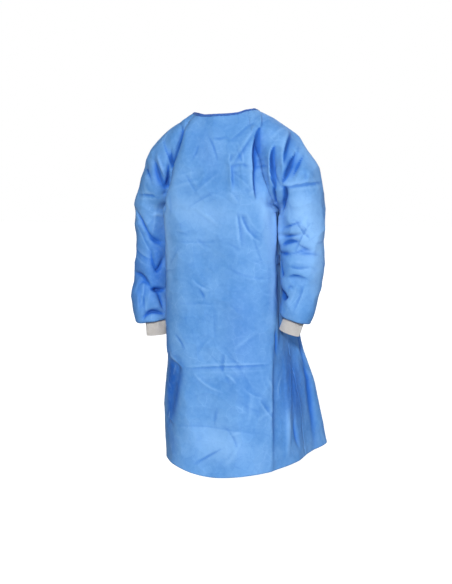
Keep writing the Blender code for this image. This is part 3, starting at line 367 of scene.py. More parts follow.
# painted light and shade: broad places where the cloth is painted paler as painted light (more than 0) or
# deeper as painted shade and shadow (less), each along a route; no relief
paintedShadingPlaces = paintedShadingTable(
    # the body: painted light low on the chest, beside both sleeves and low on the skirt; painted shade high
    # on the chest, low on the front's left, on the left side behind the edge and down the right hip, deepest
    # as painted shadow on the hollow face by the right hip
    (-150, -135, -250, -40, -157, -320, 80, -155, -300, 50, 60, 0.65),
    (165, -125, -240, 185, -110, -330, 188, -100, -450, 32, 27, 1),
    (189, -76, -268, 190, -67, -364, 196, -82, -461, 22, 20, 1),
    (194, -88, -470, 195, -89, -558, 191, -96, -689, 16, 14, 0.6),
    (-160, -125, -290, -165, -120, -400, -160, -125, -540, 24, 24, 0.7),
    (-60, -170, -1080, 50, -175, -1060, 150, -145, -1120, 60, 55, 0.65),
    (-60, -110, -50, -20, -140, -110, 20, -150, -180, 50, 30, -0.2),
    (100, -165, -560, 110, -165, -700, 120, -165, -900, 50, 60, -0.25),
    (-157, -126, -601, -171, -114, -705, -158, -128, -771, 20, 22, -0.4),
    (-152, -122, -795, -156, -118, -860, -166, -112, -940, 36, 32, -1.3),
    (-104, -158, -810, -120, -152, -900, -140, -142, -1000, 18, 20, -0.85),
    (-150, -124, -930, -158, -118, -980, -164, -114, -1030, 34, 28, -0.8),
    (-163, -121, -1040, -140, -145, -1080, -130, -150, -1130, 30, 35, -0.45),
    (225, 0, -740, 250, 30, -900, 262, 40, -1020, 90, 90, -0.85),
    # painted light on the left sleeve's outside and painted shade on the right one, deepest beside the body;
    # painted shadow in the deep gaps of both sleeves and beside the right raglan seam
    (270, -95, -240, 300, -85, -320, 315, -75, -480, 50, 50, 0.95),
    (332, -38, -299, 340, -37, -428, 327, -56, -589, 35, 35, 0.8),
    (235, 12, -51, 301, -25, -140, 333, -19, -252, 35, 35, 0.5),
    (206, -50, -430, 210, -55, -470, 222, -71, -505, 10, 9, -1.2),
    (206, -50, -562, 222, -75, -576, 236, -90, -579, 12, 8, -1.2),
    (-300, -60, -400, -290, -70, -520, -285, -80, -660, 60, 60, -0.55),
    (-216, -72, -340, -216, -72, -480, -214, -75, -630, 26, 26, -0.65),
    (-190, -85, -120, -200, -95, -180, -185, -95, -250, 35, 30, -0.35),
    (-118, -96, -50, -129, -110, -95, -151, -109, -155, 9, 8, -1.3),
    (-236, -85, -569, -222, -76, -574, -204, -56, -576, 6, 6, -1.6),
)


# cubic between two values with given tangents: (2t3-3t2+1)a + (t3-2t2+t)hA + (3t2-2t3)b + (t3-t2)hB
def cubicBetween(t, step, a, tangentA, b, tangentB):
    return ((2 * t**3 - 3 * t**2 + 1) * a + (t**3 - 2 * t**2 + t) * step * tangentA
            + (3 * t**2 - 2 * t**3) * b + (t**3 - t**2) * step * tangentB)


# named columns of a table at any stations: a cubic whose slope at each row is the harmonic mean of the
# slopes beside it, or level at a turn, so that nothing overshoots
def alongRows(rows, names, where):
    knots, where = rows["station"], np.asarray(where, float)
    values = np.stack([rows[name] for name in names.split()], axis=1)
    step = np.diff(knots)[:, None]
    slope = np.diff(values, axis=0) / step
    before, after = slope[:-1], slope[1:]
    sameWay = before * after > 0
    tangent = np.zeros_like(values)
    tangent[1:-1] = np.where(sameWay, 2 * before * after / np.where(sameWay, before + after, 1), 0)
    tangent[0], tangent[-1] = slope[0], slope[-1]
    i = np.clip(np.searchsorted(knots, where, side="right") - 1, 0, len(step) - 1)
    t = (where - knots[i])[:, None] / step[i]
    return cubicBetween(t, step[i], values[i], tangent[i], values[i + 1], tangent[i + 1])


def unit(vectors):
    return vectors / np.maximum(np.linalg.norm(vectors, axis=-1, keepdims=True), 1e-12)


# the part of each vector square to a way, made one long
def squareTo(vectors, ways):
    ways = unit(ways)
    return unit(vectors - (vectors * ways).sum(axis=-1, keepdims=True) * ways)


# one smooth line through each row's control points: no break in its bend, set tangents at both ends, found by
# one tridiagonal system for each row, then read at even steps of chord length
def splineRows(points, startWay, endWay, count):
    rows, size = points.shape[:2]
    gaps = np.linalg.norm(np.diff(points, axis=1), axis=2)
    rise = np.diff(points, axis=1) / gaps[..., None]
    matrix, right = np.zeros((rows, size, size)), np.zeros((rows, size, 3))
    k = np.arange(1, size - 1)
    matrix[:, 0, 0] = matrix[:, -1, -1] = 1
    matrix[:, k, k - 1], matrix[:, k, k + 1] = gaps[:, 1:], gaps[:, :-1]
    matrix[:, k, k] = 2 * (gaps[:, 1:] + gaps[:, :-1])
    right[:, 0], right[:, -1] = startWay, endWay
    right[:, k] = 3 * (gaps[:, 1:, None] * rise[:, :-1] + gaps[:, :-1, None] * rise[:, 1:])
    tangent = np.linalg.solve(matrix, right)
    knots = np.concatenate([np.zeros((rows, 1)), np.cumsum(gaps, axis=1)], axis=1)
    where = np.linspace(0, 1, count) * knots[:, -1:]
    i = (where[:, :, None] >= knots[:, None, 1:-1]).sum(axis=2)
    row = np.arange(rows)[:, None]
    step = gaps[row, i][..., None]
    t = (where - knots[row, i])[..., None] / step
    return cubicBetween(t, step, points[row, i], tangent[row, i], points[row, i + 1], tangent[row, i + 1])


def lengthsAlong(lines):
    steps = np.linalg.norm(np.diff(lines, axis=1), axis=2)
    return np.concatenate([np.zeros((len(lines), 1)), np.cumsum(steps, axis=1)], axis=1)


# a line of points read at other places along it
def readLine(where, knots, line):
    return np.stack([np.interp(where, knots, line[:, k]) for k in range(3)], axis=1)


# points of every line at shares of its own length; each line's lengths are set 10 m past those of the one
# before, so that one interpolation serves all
def atShares(lines, shares):
    lengths, shift = lengthsAlong(lines), 10.0 * np.arange(len(lines))[:, None]
    target, known = (shares * lengths[:, -1:] + shift).ravel(), (lengths + shift).ravel()
    return readLine(target, known, lines.reshape(-1, 3)).reshape(*shares.shape, 3)


# where the columns cross rows that are part as long as the armpit's: way (1 - (1 - part) |way|^power) / part,
# which keeps the middle ones upright and closes up the ones beside the seams
def uprightShares(shares, part):
    way, part = 2 * np.asarray(shares) - 1, part[:, None]
    power = np.clip(0.7 / np.maximum(1 - part, 1e-6) - 1, 0, 2)
    return (way * (1 - (1 - part) * np.abs(way) ** power) / part + 1) / 2


# rows of a sleeve, each an arc of a tilted ellipse: centre + out cos(a) outward + deep sin(a) back, from the
# front seam over the outer side to the back one
def sleeveRows(rows, stations, side, count):
    values = alongRows(rows, "apexX apexZ tilt out deep span centreY", np.minimum(stations, 2.0))
    apexX, apexZ, tilt, out, deep, span, centreY = (values[:, k, None] for k in range(7))
    tilt, way = np.radians(tilt), np.linspace(-1, 1, count)
    angle = way * np.radians(span)
    pinch = np.exp(-(((stations - 1) / np.where(stations <= 1, 0.05, 0.03)) ** 2))[:, None]
    x = apexX - out * np.cos(tilt) * (1 - np.cos(angle)) - cut["underarmPinch"] * pinch * np.abs(way) ** 10
    z = apexZ - out * np.sin(tilt) * (1 - np.cos(angle))
    y = centreY + deep * np.sin(angle)
    return np.stack([side * x, y, z], axis=-1)


# half rings of the body from the right seam to the left one, by the front or by the back: a spline through
# the seam, corner, quarter and middle of each side
def bodyRows(stations, seams, back):
    middle = alongRows(middleLine, "z y backY", stations)
    names = ("backQuarter", "backCorner") if back else ("quarter", "corner")
    yoke = stations < 1
    points = np.zeros((len(stations), 7, 3))
    columns = f"{names[0]}X {names[0]}Y {names[1]}X {names[1]}Y sideX sideY frontRise backRise"
    for side, rows, seam, order in ((-1, rightSide, seams[0], (0, 1, 2)), (1, leftSide, seams[1], (6, 5, 4))):
        found = alongRows(rows, columns, stations).T
        quarterX, quarterY, cornerX, cornerY, sideX, sideY, frontRise, backRise = found
        lift = backRise if back else frontRise
        end = np.stack([side * sideX, sideY, middle[:, 0] + 0.5 * (frontRise + backRise)], axis=1)
        end[: len(seam)] = seam
        corner = np.stack([side * cornerX, cornerY, middle[:, 0] + lift], axis=1)
        quarter = np.stack([side * quarterX, quarterY, middle[:, 0] + 0.65 * lift], axis=1)
        for point in (corner, quarter):
            share = np.abs(point[yoke, 0] / end[yoke, 0]) ** 3
            point[yoke, 2] = middle[yoke, 0] + (end[yoke, 2] - middle[yoke, 0]) * share
        points[:, order[0]], points[:, order[1]], points[:, order[2]] = end, corner, quarter
    points[:, 3] = np.stack([np.zeros(len(stations)), middle[:, 2 if back else 1], middle[:, 0]], axis=1)
    turn = np.radians(45 + 45 * np.minimum(stations, 1.0) ** 6)
    start = np.stack([np.cos(turn), (1 if back else -1) * np.sin(turn), np.zeros(len(turn))], axis=1)
    return splineRows(points, start, start * [1, -1, 1], 320)


# unit normals by central differences, with the two ends of a ring joined
def gridNormals(grid, wrappedFrom=None):
    along, down = np.gradient(grid, axis=1), np.gradient(grid, axis=0)
    if wrappedFrom is not None:
        ring = grid[wrappedFrom:]
        along[wrappedFrom:, 0] = along[wrappedFrom:, -1] = (ring[:, 1] - ring[:, -2]) / 2
    return unit(np.cross(down, along))


# the sleeve's edge turned in and up to the cuff: share (1 + gather cos(6a)) of its size, then the rise
def rollRows(edge, side, name):
    steps = np.linspace(0, 4, cut["rollRows"] + 1)[1:]
    share, rise, gather = (column[:, None] for column in alongRows(sleeveRoll, "share rise gather", steps).T)
    centre = edge[:-1].mean(axis=0)
    angle = np.linspace(-math.pi, math.pi, len(edge))
    rows = centre + (edge - centre) * (share * (1 + gather * np.cos(cut["gathers"] * angle)))[..., None]
    rows[..., 0] += side * cut["cuffShift"][name] * (1 - share) / (1 - sleeveRoll["share"][-1])
    rows[..., 2] += rise
    return rows


def basePanels():
    armpit = cut["yokeRows"]
    yoke = np.linspace(0, 1, armpit + 1)
    fine = np.linspace(1, 7, 3000)
    heights = alongRows(middleLine, "z", fine)[:, 0]
    levels = np.linspace(heights[0], heights[-1], cut["skirtRows"] + 1)
    stations = np.concatenate([yoke, np.interp(-levels, -heights, fine)[1:]])
    tube = np.linspace(1, 2, cut["tubeRows"] + 1)[1:]
    panels = {}
    for name, rows, side in (("left", leftSleeve, 1), ("right", rightSleeve, -1)):
        sleeve = sleeveRows(rows, np.concatenate([yoke, tube]), side, cut["sleeveColumns"] + 1)
        panels["sleeve_" + name] = np.concatenate([sleeve, rollRows(sleeve[-1], side, name)])
    columns = np.linspace(0, 1, cut["frontColumns"] + 1)
    for back in (False, True):
        edge = -1 if back else 0
        seams = [panels["sleeve_" + name][: armpit + 1, edge] for name in ("right", "left")]
        lines = bodyRows(stations, seams, back)
        length = lengthsAlong(lines)[:, -1]
        part = np.minimum(length / length[armpit], 1.0)
        if not back:
            panels["front"] = atShares(lines, uprightShares(columns, part))
            continue
        reach = 0.5 + alongRows(backReach, "beyond", stations)
        shares = uprightShares(np.linspace(0, 1, cut["backColumns"] + 1) * reach, part)
        panels["back_right"], panels["back_left"] = atShares(lines, shares), atShares(lines, 1 - shares)
    return panels


# pieces that meet at a seam take the mean of their normals there
def panelNormals(panels):
    armpit = cut["yokeRows"]
    normals = {}
    for name, grid in panels.items():
        normal = gridNormals(grid, armpit if name.startswith("sleeve") else None)
        normals[name] = -normal if name in ("back_right", "sleeve_right") else normal
    raglan, skirt = slice(0, armpit), slice(armpit + 1, None)
    for a, columnA, b, columnB, rows in (
        ("front", -1, "sleeve_left", 0, raglan),
        ("front", 0, "sleeve_right", 0, raglan),
        ("back_left", 0, "sleeve_left", -1, raglan),
        ("back_right", 0, "sleeve_right", -1, raglan),
        ("front", -1, "back_left", 0, skirt),
        ("front", 0, "back_right", 0, skirt),
    ):
        mean = unit(normals[a][rows, columnA] + normals[b][rows, columnB])
        normals[a][rows, columnA], normals[b][rows, columnB] = mean, mean
    for side, column in (("left", -1), ("right", 0)):
        ends = (("front", column), ("back_" + side, 0), ("sleeve_" + side, 0), ("sleeve_" + side, -1))
        mean = unit(sum(normals[name][armpit, at] for name, at in ends))
        for name, at in ends:
            normals[name][armpit, at] = mean
    return normals


def smoothStep(value, low, high):
    t = np.clip((value - low) / (high - low), 0, 1)
    return t * t * (3 - 2 * t)


# noise: random numbers on a lattice, blended inside each cell by t2(3-2t)
def softNoise(points, size, seed):
    lattice = np.random.default_rng(seed).uniform(-1, 1, (32, 32, 32))
    place = points / size
    cell = np.floor(place).astype(int)
    t = place - cell
    t = t * t * (3 - 2 * t)
    total = np.zeros(points.shape[:-1])
    for corner in np.ndindex(2, 2, 2):
        weight = np.prod(np.where(np.array(corner) == 1, t, 1 - t), axis=-1)
        i, j, k = ((cell[..., axis] + corner[axis]) % 32 for axis in range(3))
        total += weight * lattice[i, j, k]
    return total


# soft noise along a line's length
def noiseAlong(length, size, seed):
    return softNoise(np.stack([length, 0 * length, 0 * length], axis=-1), size, seed)


# a route through three points as a parabola read at even steps, moved onto the cloth along its normals
def layRoute(route, cloud, cloudNormals):
    t = np.linspace(0, 1, 13)[:, None]
    middle = 2 * route[1] - (route[0] + route[2]) / 2
    line = (1 - t) ** 2 * route[0] + 2 * t * (1 - t) * middle + t**2 * route[2]
    nearest = np.argmin(np.linalg.norm(line[:, None] - cloud[None], axis=2), axis=1)
    way = cloudNormals[nearest]
    return line + ((cloud[nearest] - line) * way).sum(axis=1, keepdims=True) * way


# how far the cloth lies inwards and how much it is in shadow, t being the distance across the route over
# the width and s the share along it. A trough is depth exp(-t^2), or depth exp(-t) where crisp, and fades
# to its ends as 0.35 + 0.65 sin(pi s). A turned fold is depth -0.5 exp(-0.8t) before its edge and depth
# (1.3t exp(-0.8t) - 0.5 exp(-2.2t)) after it, and fades as sin(pi s)^0.6; its shadow, depth exp(-0.9t),
# lies hard against the edge, and before the edge it turns to a ridge, -0.4 exp(-2t). No lamp casts this
# shadow: it is painted into the colour as painted shade, and the ridge as painted highlight
def foldField(points, normals, folds, cloud, cloudNormals):
    total, shadow = np.zeros(points.shape[:-1]), np.zeros(points.shape[:-1])
    reachWidths = 4.5
    for i in range(len(folds["depth"])):
        route = np.array([[folds[f"{axis}{n}"][i] for axis in "xyz"] for n in (1, 2, 3)])
        line = layRoute(route, cloud, cloudNormals)
        reach = reachWidths * max(folds["width1"][i], folds["width2"][i])
        low, high = line.min(axis=0) - reach, line.max(axis=0) + reach
        near = ((points > low) & (points < high)).all(axis=-1)
        p, n = points[near], normals[near]
        if not len(p):
            continue
        gap, share, side = np.full(len(p), np.inf), np.zeros(len(p)), np.zeros(len(p))
        for k in range(len(line) - 1):
            span = line[k + 1] - line[k]
            t = np.clip((p - line[k]) @ span / (span @ span), 0, 1)
            off = p - line[k] - t[:, None] * span
            distance = np.linalg.norm(off, axis=1)
            closer = distance < gap
            gap = np.where(closer, distance, gap)
            share = np.where(closer, (k + t) / (len(line) - 1), share)
            side = np.where(closer, np.sign((np.cross(n, span) * off).sum(axis=1)), side)
        away = gap / (folds["width1"][i] + (folds["width2"][i] - folds["width1"][i]) * share)
        crisp, turned = folds["crisp"][i], folds["turned"][i]
        soft, sharp = np.exp(-(away**2)), np.exp(0.25 - np.sqrt(away**2 + 0.0625))
        trough = ((1 - crisp) * soft + crisp * sharp) * (0.35 + 0.65 * np.sin(math.pi * share))
        rounded = np.sqrt(away**2 + 0.02) - 0.14
        before = -0.5 * np.exp(-0.8 * rounded)
        after = 1.3 * rounded * np.exp(-0.8 * rounded) - 0.5 * np.exp(-2.2 * rounded)
        past = side * np.sign(turned) > 0
        along = np.sin(math.pi * share) ** 0.6
        edge = np.where(past, after, before) * along
        shade = np.exp(-0.9 * away) * smoothStep(away, 0, 0.35)
        dark = np.where(past, shade, -0.4 * np.exp(-2.0 * away)) * along
        size = folds["depth"][i] * smoothStep(reachWidths - away, 0, 1)
        total[near] += size * ((1 - abs(turned)) * trough + abs(turned) * edge)
        shadow[near] += size * ((1 - abs(turned)) * trough + abs(turned) * dark)
    return total, shadow


handling = {  # wear of the whole cloth: soft waves, bowls that meet in sharp ridges, short straight creases
    "waveSize": 0.115, "waveDepth": 0.0020, "pushSize": 0.05, "push": 0.012, "bowlMean": 0.3, "calmRows": 16,
    "bodySize": 0.085, "bodyDepth": 0.0065, "bodyStretch": 0.7, "sleeveSize": 0.060, "sleeveDepth": 0.0085,
    "fineSize": 0.022, "fineDepth": 0.0012, "fineShare": 0.35, "finePatches": 1.2, "finePatchSize": 0.13,
    "sleeveFrom": 0.17, "sleeveWhole": 0.25, "armLow": -0.44, "armHigh": -0.32, "ownRows": 5,
    "creases": {"front": 70, "back_left": 40, "back_right": 46, "sleeve_left": 34, "sleeve_right": 34},
    "creaseLength": (0.03, 0.11), "creaseDepth": (0.0006, 0.0018), "creaseWidth": (0.004, 0.0065),
    "creaseBend": 0.12, "creaseTurned": 0.8, "creaseFromSeam": 0.03,
    "seamDip": 0.0007, "seamWidth": 0.0035, "puckerDepth": 0.0011, "puckerReach": 0.020, "puckerSize": 0.014,
}


# square of the distance to the nearest of one random point in each cell of a lattice, in cells: shallow
# bowls that meet in straight sharp ridges, as in creased paper
def bowls(points, size, seed):
    jitter = np.random.default_rng(seed).uniform(0, 1, (16, 16, 16, 3))
    place = points / size
    cell = np.floor(place).astype(int)
    nearest = np.full(points.shape[:-1], 4.0)
    for corner in np.ndindex(3, 3, 3):
        at = cell + np.array(corner) - 1
        i, j, k = (at[..., axis] % 16 for axis in range(3))
        nearest = np.minimum(nearest, ((at + jitter[i, j, k] - place) ** 2).sum(axis=-1))
    return nearest


# soft noise; wide bowls on the body, smaller and deeper ones on the sleeves, and small ones in patches;
# each less its mean
def handlingField(points, h, sleeve):
    wave = h["waveDepth"] * softNoise(points, h["waveSize"], 3)
    push = np.stack([softNoise(points, h["pushSize"], 11 + k) for k in range(3)], axis=-1) * h["push"]
    inSleeve = smoothStep(np.abs(points[..., 0]), h["sleeveFrom"], h["sleeveWhole"])
    if not sleeve:
        inSleeve = inSleeve * smoothStep(points[..., 2], h["armLow"], h["armHigh"])
    patchy = np.clip(h["fineShare"] + h["finePatches"] * softNoise(points, h["finePatchSize"], 9), 0, 1)
    wide = (points + push) * [1, 1, h["bodyStretch"]]
    large = h["bodyDepth"] * (bowls(wide, h["bodySize"], 8) - h["bowlMean"])
    small = h["sleeveDepth"] * (bowls(points + push, h["sleeveSize"], 13) - h["bowlMean"])
    fine = h["fineDepth"] * (bowls(points + push, h["fineSize"], 7) - h["bowlMean"])
    return wave - large * (1 - inSleeve) - small * inSleeve - fine * patchy


# short straight creases at seeded places of a panel, away from its seams, as one more table of folds
def scatteredCreases(grid, count, seed, h):
    rng = np.random.default_rng(seed)
    rows, columns = grid.shape[:2]
    r = rng.integers(12, rows - 12, count)
    c = rng.integers(int(0.08 * columns), int(0.92 * columns), count)
    angle = rng.uniform(0, 2 * math.pi, count)
    length = rng.uniform(*h["creaseLength"], count)
    down, across = unit(grid[r + 4, c] - grid[r - 4, c]), unit(grid[r, c + 4] - grid[r, c - 4])
    way = np.cos(angle)[:, None] * across + np.sin(angle)[:, None] * down
    bend = np.cos(angle)[:, None] * down - np.sin(angle)[:, None] * across
    bend *= rng.uniform(-h["creaseBend"], h["creaseBend"], (count, 1))
    middle = grid[r, c]
    start, end = middle - way * length[:, None] / 2, middle + way * length[:, None] / 2
    middle = middle + bend * length[:, None]
    points = ((1, start), (2, middle), (3, end))
    folds = {f"{axis}{n}": point[:, k] for n, point in points for k, axis in enumerate("xyz")}
    folds["width1"], folds["width2"] = (rng.uniform(*h["creaseWidth"], count) for _ in range(2))
    folds["depth"] = rng.uniform(*h["creaseDepth"], count) * rng.choice([-1, 1], count)
    folds["turned"] = rng.uniform(-h["creaseTurned"], h["creaseTurned"], count)
    folds["crisp"] = np.ones(count)
    return folds


# beside a seam the cloth dips by seamDip exp(-(d/w)^2) and puckers with the noise along the seam
def seamField(points, distance, h):
    pucker = softNoise(points, h["puckerSize"], 21) * np.exp(-distance / h["puckerReach"]) * h["puckerDepth"]
    return h["seamDip"] * np.exp(-((distance / h["seamWidth"]) ** 2)) + pucker


def seamDistance(name, grid):
    armpit = cut["yokeRows"]
    lengths = lengthsAlong(grid)
    fromStart, fromEnd = lengths, lengths[:, -1:] - lengths
    if name == "front":
        return np.minimum(fromStart, fromEnd)
    if name.startswith("back"):
        return fromStart
    distance = np.minimum(fromStart, fromEnd)  # on the tube both ends are the one seam under the arm
    distance[armpit:] = np.minimum(distance[armpit:], 1.0)
    return distance


def foldPanels(panels, normals):
    armpit = cut["yokeRows"]
    cloud = np.concatenate([grid[::4, ::4].reshape(-1, 3) for grid in panels.values()])
    cloudNormals = np.concatenate([normal[::4, ::4].reshape(-1, 3) for normal in normals.values()])
    folded, marks, hollows, paintedShadings = {}, {}, {}, {}
    for seed, (name, grid) in enumerate(panels.items()):
        normal = normals[name]
        large = {"sleeve_left": leftSleeveFolds, "sleeve_right": rightSleeveFolds}.get(name, bodyFolds)
        small = {"sleeve_left": leftSleeveCreases, "sleeve_right": rightSleeveCreases}.get(name, bodyCreases)
        own = np.clip((np.arange(len(grid)) - armpit) / handling["ownRows"], 0, 1)[:, None]
        shared, sharedShadow = foldField(grid, normal, yokeFolds, cloud, cloudNormals)
        lower, lowerShadow = foldField(grid, normal, large, cloud, cloudNormals)
        depth = shared + own * lower
        fine = foldField(grid, normal, yokeCreases, cloud, cloudNormals)[0]
        fine += own * foldField(grid, normal, small, cloud, cloudNormals)[0]
        distance = seamDistance(name, grid)
        away = np.clip(distance / handling["creaseFromSeam"], 0, 1)
        scattered = scatteredCreases(grid, handling["creases"][name], 40 + seed, handling)
        fine += away * foldField(grid, normal, scattered, cloud, cloudNormals)[0]
        sewn = seamField(grid, distance, handling)
        if name.startswith("back"):
            ramp = smoothStep(np.linspace(0, 1, grid.shape[1]), *cut["layerRamp"])
            depth = depth + (1 if name == "back_left" else -1) * cut["layerSpace"] * ramp
        worn = handlingField(grid, handling, name.startswith("sleeve"))
        if name.startswith("sleeve"):  # calm towards the gathered lower edge
            left = armpit + cut["tubeRows"] - np.arange(len(grid))
            worn *= smoothStep(left, 0, handling["calmRows"])[:, None]
        folded[name] = grid - normal * (depth + fine + sewn + worn)[..., None]
        # the fold shadow and ridges, kept to be painted into the colour as painted shade and painted
        # highlight
        marks[name], hollows[name] = fine, sharedShadow + own * lowerShadow
        # painted light and shade at the broad places of the shading table, kept for the colour
        paintedShadings[name] = foldField(grid, normal, paintedShadingPlaces, cloud, cloudNormals)[0]
    return folded, marks, hollows, paintedShadings


base = basePanels()
baseNormals = panelNormals(base)
panels, marks, hollows, paintedShadings = foldPanels(base, baseNormals)
normals = panelNormals(panels)
print("panels folded:", {name: grid.shape[:2] for name, grid in panels.items()})


# a grid as quads, its rows from wrappedFrom on closed into rings; points no quad uses are dropped
def gridPiece(name, grid, uv, flip, wrappedFrom=None, **fields):
    rows, columns = grid.shape[:2]
    index = np.arange(rows * columns).reshape(rows, columns)
    loose = index.copy()
    if wrappedFrom is not None:
        index[wrappedFrom:, -1] = index[wrappedFrom:, 0]

    def corners(i):
        around = (i[:-1, :-1], i[1:, :-1], i[1:, 1:], i[:-1, 1:])
        return np.stack(around[::-1] if flip else around, axis=-1).reshape(-1, 4)

    quads = corners(index)
    used, quads = np.unique(quads, return_inverse=True)
    quads = quads.reshape(-1, 4)
    mesh = bpy.data.meshes.new(name)
    mesh.from_pydata(grid.reshape(-1, 3)[used], [], quads)
    layer = mesh.uv_layers.new(name="cloth")
    layer.data.foreach_set("uv", uv.reshape(-1, 2)[corners(loose).ravel()].astype(np.float32).ravel())
    for key, field in fields.items():
        attribute = mesh.attributes.new(key, "FLOAT", "POINT")
        attribute.data.foreach_set("value", field.reshape(-1)[used].astype(np.float32))
    mesh.shade_smooth()
    return addObject(name, mesh)


# metres across and down the cloth, measured on the unfolded rows
def clothUv(grid):
    across = lengthsAlong(grid)
    across = across - across[:, -1:] / 2
    down = np.concatenate([[0], np.cumsum(np.linalg.norm(np.diff(grid, axis=0), axis=2).mean(axis=1))])
    return np.stack([across, np.broadcast_to(down[:, None], across.shape)], axis=-1)


def giveWall(piece, thickness):
    solidify = piece.modifiers.new("wall", "SOLIDIFY")
    solidify.thickness, solidify.offset = thickness, 0.0
    solidify.use_even_offset = False
    return piece


def finishPiece(piece, material, slot, *nodes):
    piece.data.materials.append(material)
    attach(piece, "root")
    if nodes:
        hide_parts(*nodes)
    return piece


# how raised each point of a grid is over the 5 by 5 points around it: the mean of their marks minus its own
def relief(field):
    rows, columns = field.shape
    padded = np.pad(field, 2, mode="edge")
    total = sum(padded[i : i + rows, j : j + columns] for i in range(5) for j in range(5))
    return total / 25 - field


# a socket that takes part in sums: +, -, * and / with another one or a number add a Math node
class Signal:
    def __init__(self, kit, socket):
        self.kit, self.socket = kit, socket

    def join(self, operation, first, second):
        return self.kit.node("ShaderNodeMath", {"operation": operation}, {0: first, 1: second})

    def __add__(self, other):
        return self.join("ADD", self, other)

    def __sub__(self, other):
        return self.join("SUBTRACT", self, other)

    def __rsub__(self, other):
        return self.join("SUBTRACT", other, self)

    def __mul__(self, other):
        return self.join("MULTIPLY", self, other)

    def __truediv__(self, other):
        return self.join("DIVIDE", self, other)


# one material with a Principled shader; node() adds any node: its settings first, then values or links
class Finish:
    def __init__(self, name, c):
        self.material = bpy.data.materials.new(name)
        self.material.use_nodes = True
        self.tree = self.material.node_tree
        self.shader = self.tree.nodes["Principled BSDF"]
        for key, socket in (("roughness", "Roughness"), ("specular", "Specular IOR Level"),
                            ("sheen", "Sheen Weight"), ("sheenRoughness", "Sheen Roughness")):
            self.shader.inputs[socket].default_value = c[key]
        self.place = self.node("ShaderNodeTexCoord", out="Object")
        self.uv = self.node("ShaderNodeUVMap", {"uv_map": "cloth"})

    def node(self, kind, settings=None, values=None, out=0):
        node = self.tree.nodes.new(kind)
        for key, value in (settings or {}).items():
            setattr(node, key, value)
        for key, value in (values or {}).items():
            if isinstance(value, Signal):
                self.tree.links.new(value.socket, node.inputs[key])
            else:
                node.inputs[key].default_value = value
        return Signal(self, node.outputs[out])

    def mix(self, factor, a, b):
        settings = {"data_type": "RGBA", "clamp_factor": True}
        return self.node("ShaderNodeMix", settings, {0: factor, 6: a, 7: b}, out=2)

    def limit(self, value, low, high):
        span = {"From Min": low, "From Max": high, "To Min": 0.0, "To Max": 1.0}
        return self.node("ShaderNodeMapRange", {"clamp": True}, {"Value": value, **span})

    def wave(self, value):
        return self.node("ShaderNodeMath", {"operation": "SINE"}, {0: value})

    def parts(self, vector, *axes):
        split = self.node("ShaderNodeSeparateXYZ", values={0: vector}).socket.node
        return [Signal(self, split.outputs[k]) for k in axes]

    def mark(self, name):
        return self.node("ShaderNodeAttribute", {"attribute_name": name}, out="Fac")

    def noise(self, scale, detail=2.0, roughness=0.5, out=0):
        values = {"Vector": self.place, "Scale": scale, "Detail": detail, "Roughness": roughness}
        return self.node("ShaderNodeTexNoise", {"noise_dimensions": "3D"}, values, out)

    def feed(self, tone, height, strength):
        bump = {"Strength": strength, "Distance": 1.0, "Height": height}
        normal = self.node("ShaderNodeBump", values=bump, out="Normal")
        for value, socket in ((tone, "Base Color"), (normal, "Normal")):
            self.tree.links.new(value.socket, self.shader.inputs[socket])
        return self.material


nonWoven = {  # three-layer spunbond cloth: soft cloudy web, bonded in a fine diamond grid; painted highlight and shade on folds, creases and crumples (raised creases partly whitening), painted light and shade in broad places
    "shade": (0.106, 0.292, 0.630, 1), "light": (0.262, 0.500, 0.850, 1), "dark": (0.022, 0.138, 0.540, 1),
    # deep is the colour of painted shadow
    "deep": (0.012, 0.050, 0.230, 1),
    "roughness": 0.60, "specular": 0.12, "sheen": 0.02, "sheenRoughness": 0.45, "bump": 0.8,
    # noise scales are cells to a metre; the rest are metres
    "cloudScale": 80.0, "patchScale": 11.0, "fibreScale": 900.0, "swayScale": 30.0, "crumpleScale": 27.0,
    "bondPitch": 0.0022, "bondDepth": 0.00006, "fibreDepth": 0.00004, "cloudDepth": 0.00004,
    "crumpleBend": 0.020, "crumpleDepth": 0.0022, "creaseSpan": 0.0005, "hollowSpan": 0.009,
    "ridgeFrom": 0.001, "ridgeSpan": 0.005,
    # how far each of these takes the tone, and the width of a crumple's line in cells
    "patchPale": 0.30, "paintedShadowDeep": 0.7, "cloudPale": 0.6, "cloudDark": 0.5, "crumpleLineHighlight": 0.32,
    "crumpleLineShade": 0.15, "creaseWhiteningAndShade": 0.55, "hollowDark": 0.90, "paintedRidgeHighlight": 0.45, "hollowDeep": 0.60,
    "bondDark": 0.18, "lineWidth": 0.040,
}


